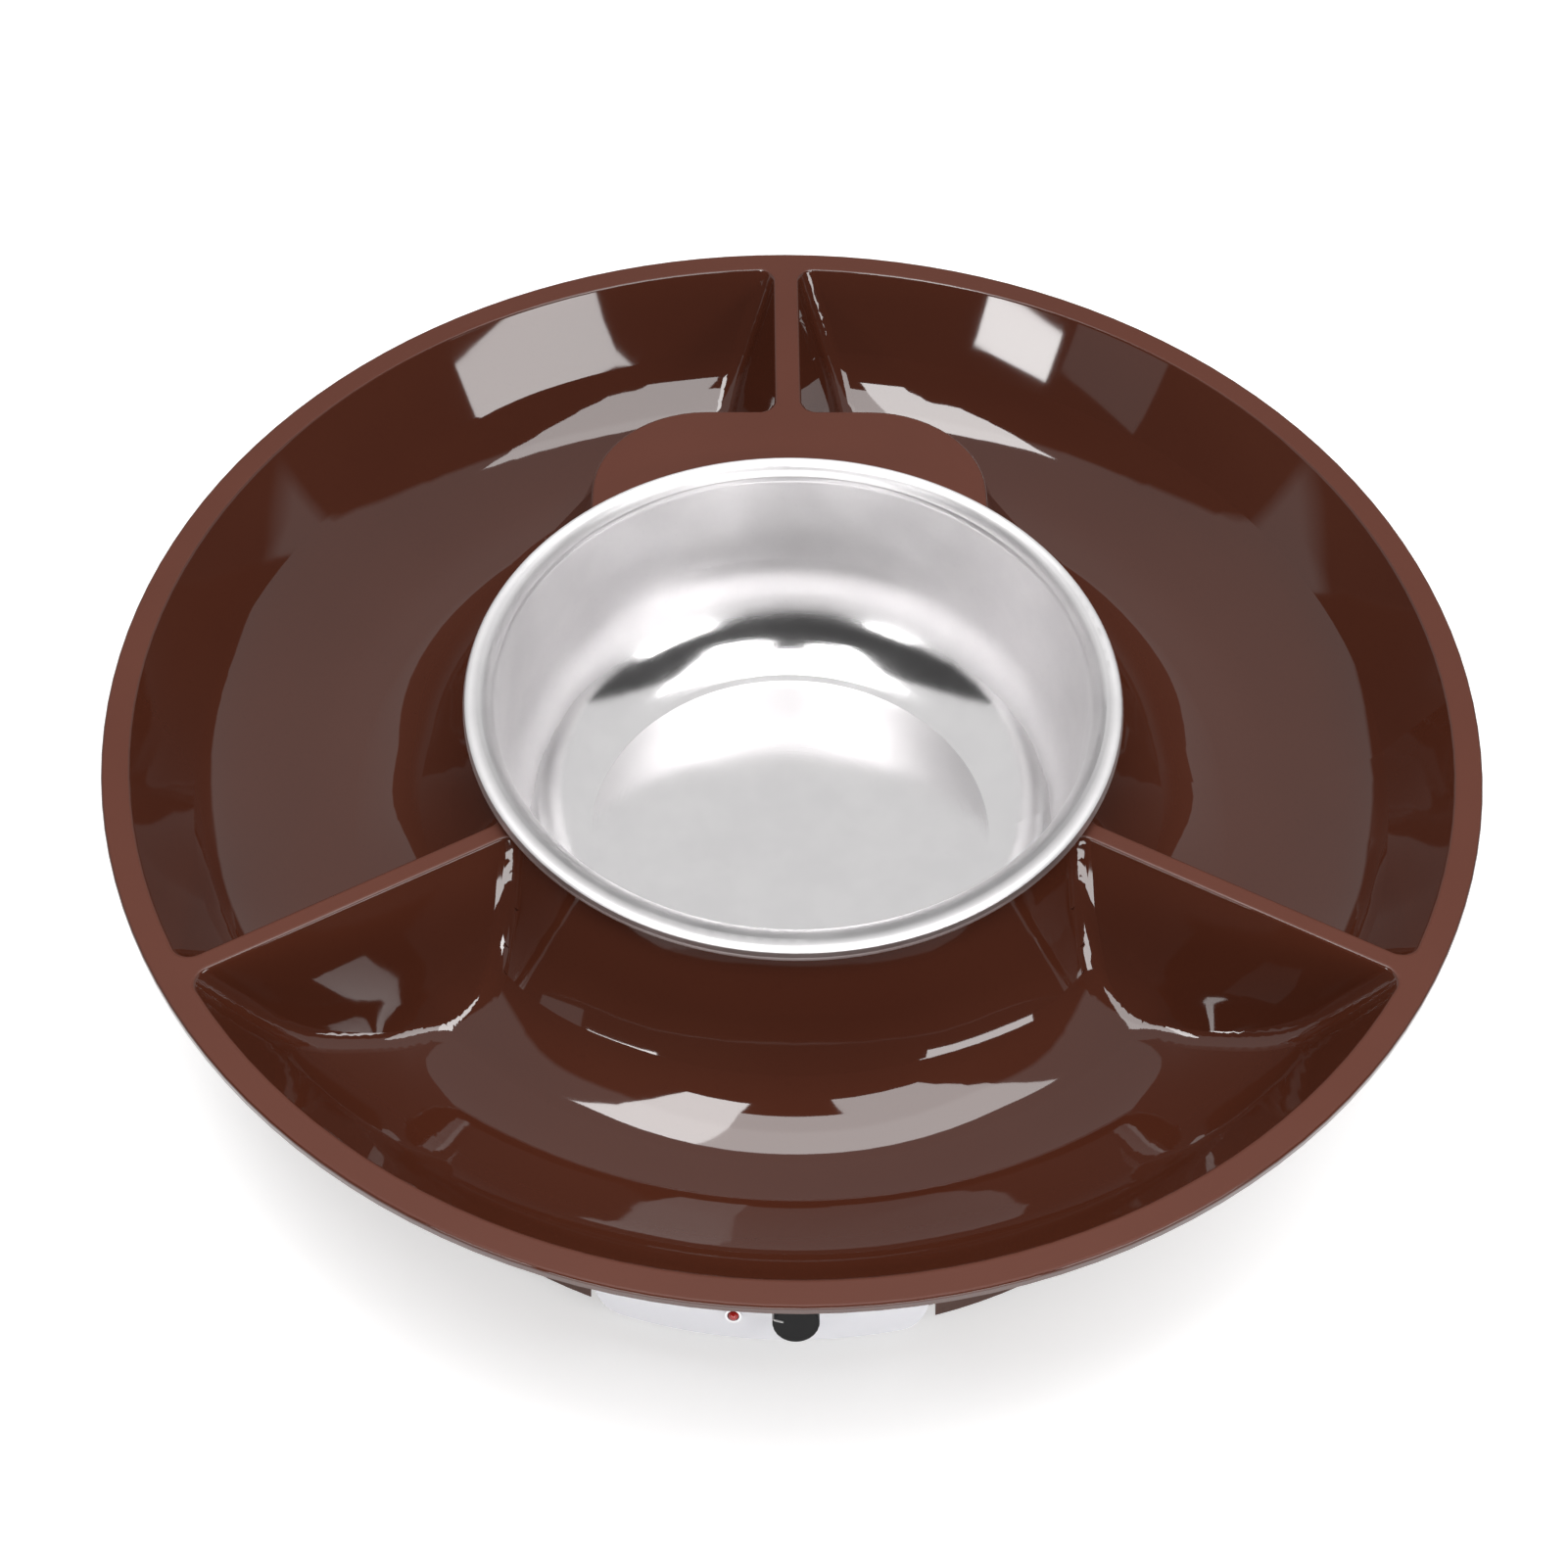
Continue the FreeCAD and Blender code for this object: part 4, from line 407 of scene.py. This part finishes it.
def make_tray():
    """A copy of the solid's mesh with its upward inner faces moved and their normals kept smooth."""
    source = nodes["serving_tray"]
    tray = bpy.data.objects.new("tray_moulding", source.data.copy())
    bpy.context.scene.collection.objects.link(tray)
    mesh = tray.data
    places, corners = read(mesh.vertices, "co", 3), read(mesh.loops, "vertex_index", 1, np.int32)
    normals, facing = read(mesh.corner_normals, "vector", 3), read(mesh.polygons, "normal", 3)
    triangles = corners.reshape(-1, 3)
    middle = places[triangles].mean(1)
    radius = np.hypot(middle[:, 0], middle[:, 1])
    inner = (facing[:, 2] > LEAST_UPWARD) & (radius > INNER_REACH[0]) & (radius < INNER_REACH[1])
    touched = np.repeat(inner, 3)
    normals[touched] = reshape_normals(places[corners[touched]], normals[touched])
    moved = np.unique(triangles[inner])
    places[moved] = reshape(places[moved])
    mesh.vertices.foreach_set("co", places.astype(np.float32).ravel())
    mesh.update()
    mesh.normals_split_custom_set([tuple(normal) for normal in normals])
    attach(tray, "tray")
    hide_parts("serving_tray")


make_tray()


# Floor, lights and camera

FLOOR_GLOW = 0.45


def floor_finish():
    """White table. Its own glow is only for what looks at it, so it keeps the object's shadow."""
    material, tree, surface = new_finish("table_white")
    wire(tree, surface, "Base Color", use_group(tree, PIGMENT, Colour=(0.83, 0.83, 0.83, 1),
                                                Shade=(0.81, 0.81, 0.81, 1), Cloud=3.0, Amount=0.5)["Colour"])
    wire(tree, surface, "Roughness", use_group(tree, HANDLING, Clean=0.7, Worn=0.8, Patch=4.0)["Roughness"])
    surface.inputs["Specular IOR Level"].default_value = 0.0
    path = add_node(tree, "ShaderNodeLightPath").outputs
    seen = arithmetic(tree, "ADD", path["Is Camera Ray"], path["Is Glossy Ray"])
    seen = arithmetic(tree, "ADD", seen, path["Is Transmission Ray"], True)
    strength = arithmetic(tree, "MULTIPLY", seen, FLOOR_GLOW)
    glow = add_node(tree, "ShaderNodeEmission", {"Color": (1, 1, 1, 1), "Strength": strength})
    both = add_node(tree, "ShaderNodeAddShader", {0: surface.outputs[0], 1: glow.outputs[0]})
    tree.links.new(both.outputs[0], tree.nodes["Material Output"].inputs["Surface"])
    return material


def add_floor():
    bpy.ops.object.select_all(action="DESELECT")
    bpy.ops.mesh.primitive_plane_add(size=40.0, location=(0, 0, 0))
    floor = bpy.context.object
    floor.name = "floor"
    floor.data.materials.append(floor_finish())


def add_lamp(name, centre, target, width, height, radiance):
    """A soft rectangle of even radiance that faces a point."""
    data = bpy.data.lights.new(name, "AREA")
    data.shape = "RECTANGLE"
    data.size, data.size_y = width, height
    data.energy = radiance * math.pi * width * height
    lamp = bpy.data.objects.new(name, data)
    bpy.context.scene.collection.objects.link(lamp)
    lamp.location = centre
    lamp.rotation_euler = (Vector(target) - Vector(centre)).to_track_quat("-Z", "Y").to_euler()
    lamp.visible_camera = False


def add_ceiling_panel(name, across, along, radiance, height=1.2):
    """A level softbox that spans a range of slopes, x and y over height, seen from the tray."""
    spot = Vector((sum(across) / 2 * height, sum(along) / 2 * height, height + TRAY_TOP))
    add_lamp(name, spot, spot - Vector((0, 0, 1)), (across[1] - across[0]) * height,
             (along[1] - along[0]) * height, radiance)


def add_standing_softbox(name, turn, rise, wide, tall, radiance, reach=1.2):
    """A softbox on a stand: its turn from the back towards +X, its rise, and its angles across."""
    turn, rise = math.radians(turn), math.radians(rise)
    spot = Vector((math.sin(turn) * math.cos(rise), math.cos(turn) * math.cos(rise), math.sin(rise))) * reach
    spot.z += TRAY_TOP
    add_lamp(name, spot, (0, 0, TRAY_TOP), 2 * reach * math.tan(math.radians(wide / 2)),
             2 * reach * math.tan(math.radians(tall / 2)), radiance)


def add_world(bright=0.70, dark=0.06, edge=0.1, rise=0.18, soft=0.02):
    """A pale backdrop above the horizon behind the object, a dark room elsewhere, white in the picture."""
    world = bpy.data.worlds.new("studio")
    bpy.context.scene.world = world
    world.use_nodes = True
    tree = world.node_tree
    direction = add_node(tree, "ShaderNodeTexCoord").outputs["Generated"]
    way = add_node(tree, "ShaderNodeSeparateXYZ", {"Vector": direction})
    lean = arithmetic(tree, "ADD", way.outputs["Y"], arithmetic(tree, "MULTIPLY", way.outputs["Z"], edge))
    behind = span(tree, lean, -soft, soft, 0.0, 1.0)
    above = span(tree, way.outputs["Z"], rise - soft, rise + soft, 0.0, 1.0)
    strength = span(tree, arithmetic(tree, "MULTIPLY", behind, above), 0.0, 1.0, dark, bright)
    looked_at = add_node(tree, "ShaderNodeLightPath").outputs["Is Camera Ray"]
    backdrop = tree.nodes["Background"].inputs
    tree.links.new(arithmetic(tree, "MAXIMUM", strength, looked_at), backdrop["Strength"])
    backdrop["Color"].default_value = (1, 1, 1, 1)


def add_lights():
    add_ceiling_panel("overhead_panel", across=(-0.12, 0.47), along=(-0.35, 0.08), radiance=6.0)
    add_ceiling_panel("overhead_left_panel", across=(-0.33, -0.12), along=(-0.50, 0.08), radiance=12.0)
    add_ceiling_panel("right_overhead_wing", across=(0.14, 0.47), along=(-0.60, -0.35), radiance=6.0)
    add_standing_softbox("right_softbox", turn=133.0, rise=26.5, wide=24.0, tall=10.0, radiance=8.5)
    add_standing_softbox("left_softbox", turn=-139.5, rise=26.0, wide=12.5, tall=4.5, radiance=15.5)
    add_standing_softbox("left_reflector", turn=-122.5, rise=21.5, wide=15.0, tall=9.0, radiance=0.55)
    add_standing_softbox("front_fill", turn=180.0, rise=6.0, wide=60.0, tall=8.0, radiance=8.0)
    add_world()


def add_camera():
    data = bpy.data.cameras.new("camera")
    data.sensor_width = 36.0
    data.lens = data.sensor_width * PHOTO_FOCAL_LENGTH / PHOTO_SIDE
    data.clip_start, data.clip_end = 0.01, 100.0
    camera = bpy.data.objects.new("camera", data)
    bpy.context.scene.collection.objects.link(camera)
    camera.matrix_world = (Matrix.Translation(CAMERA_PLACE)
                           @ Matrix.Rotation(math.radians(CAMERA_HEADING), 4, "Z")
                           @ Matrix.Rotation(math.radians(CAMERA_TILT), 4, "X")
                           @ Matrix.Rotation(math.radians(CAMERA_ROLL), 4, "Z"))
    bpy.context.scene.camera = camera


add_floor()
add_lights()
add_camera()
bpy.context.scene.view_settings.view_transform = "Standard"
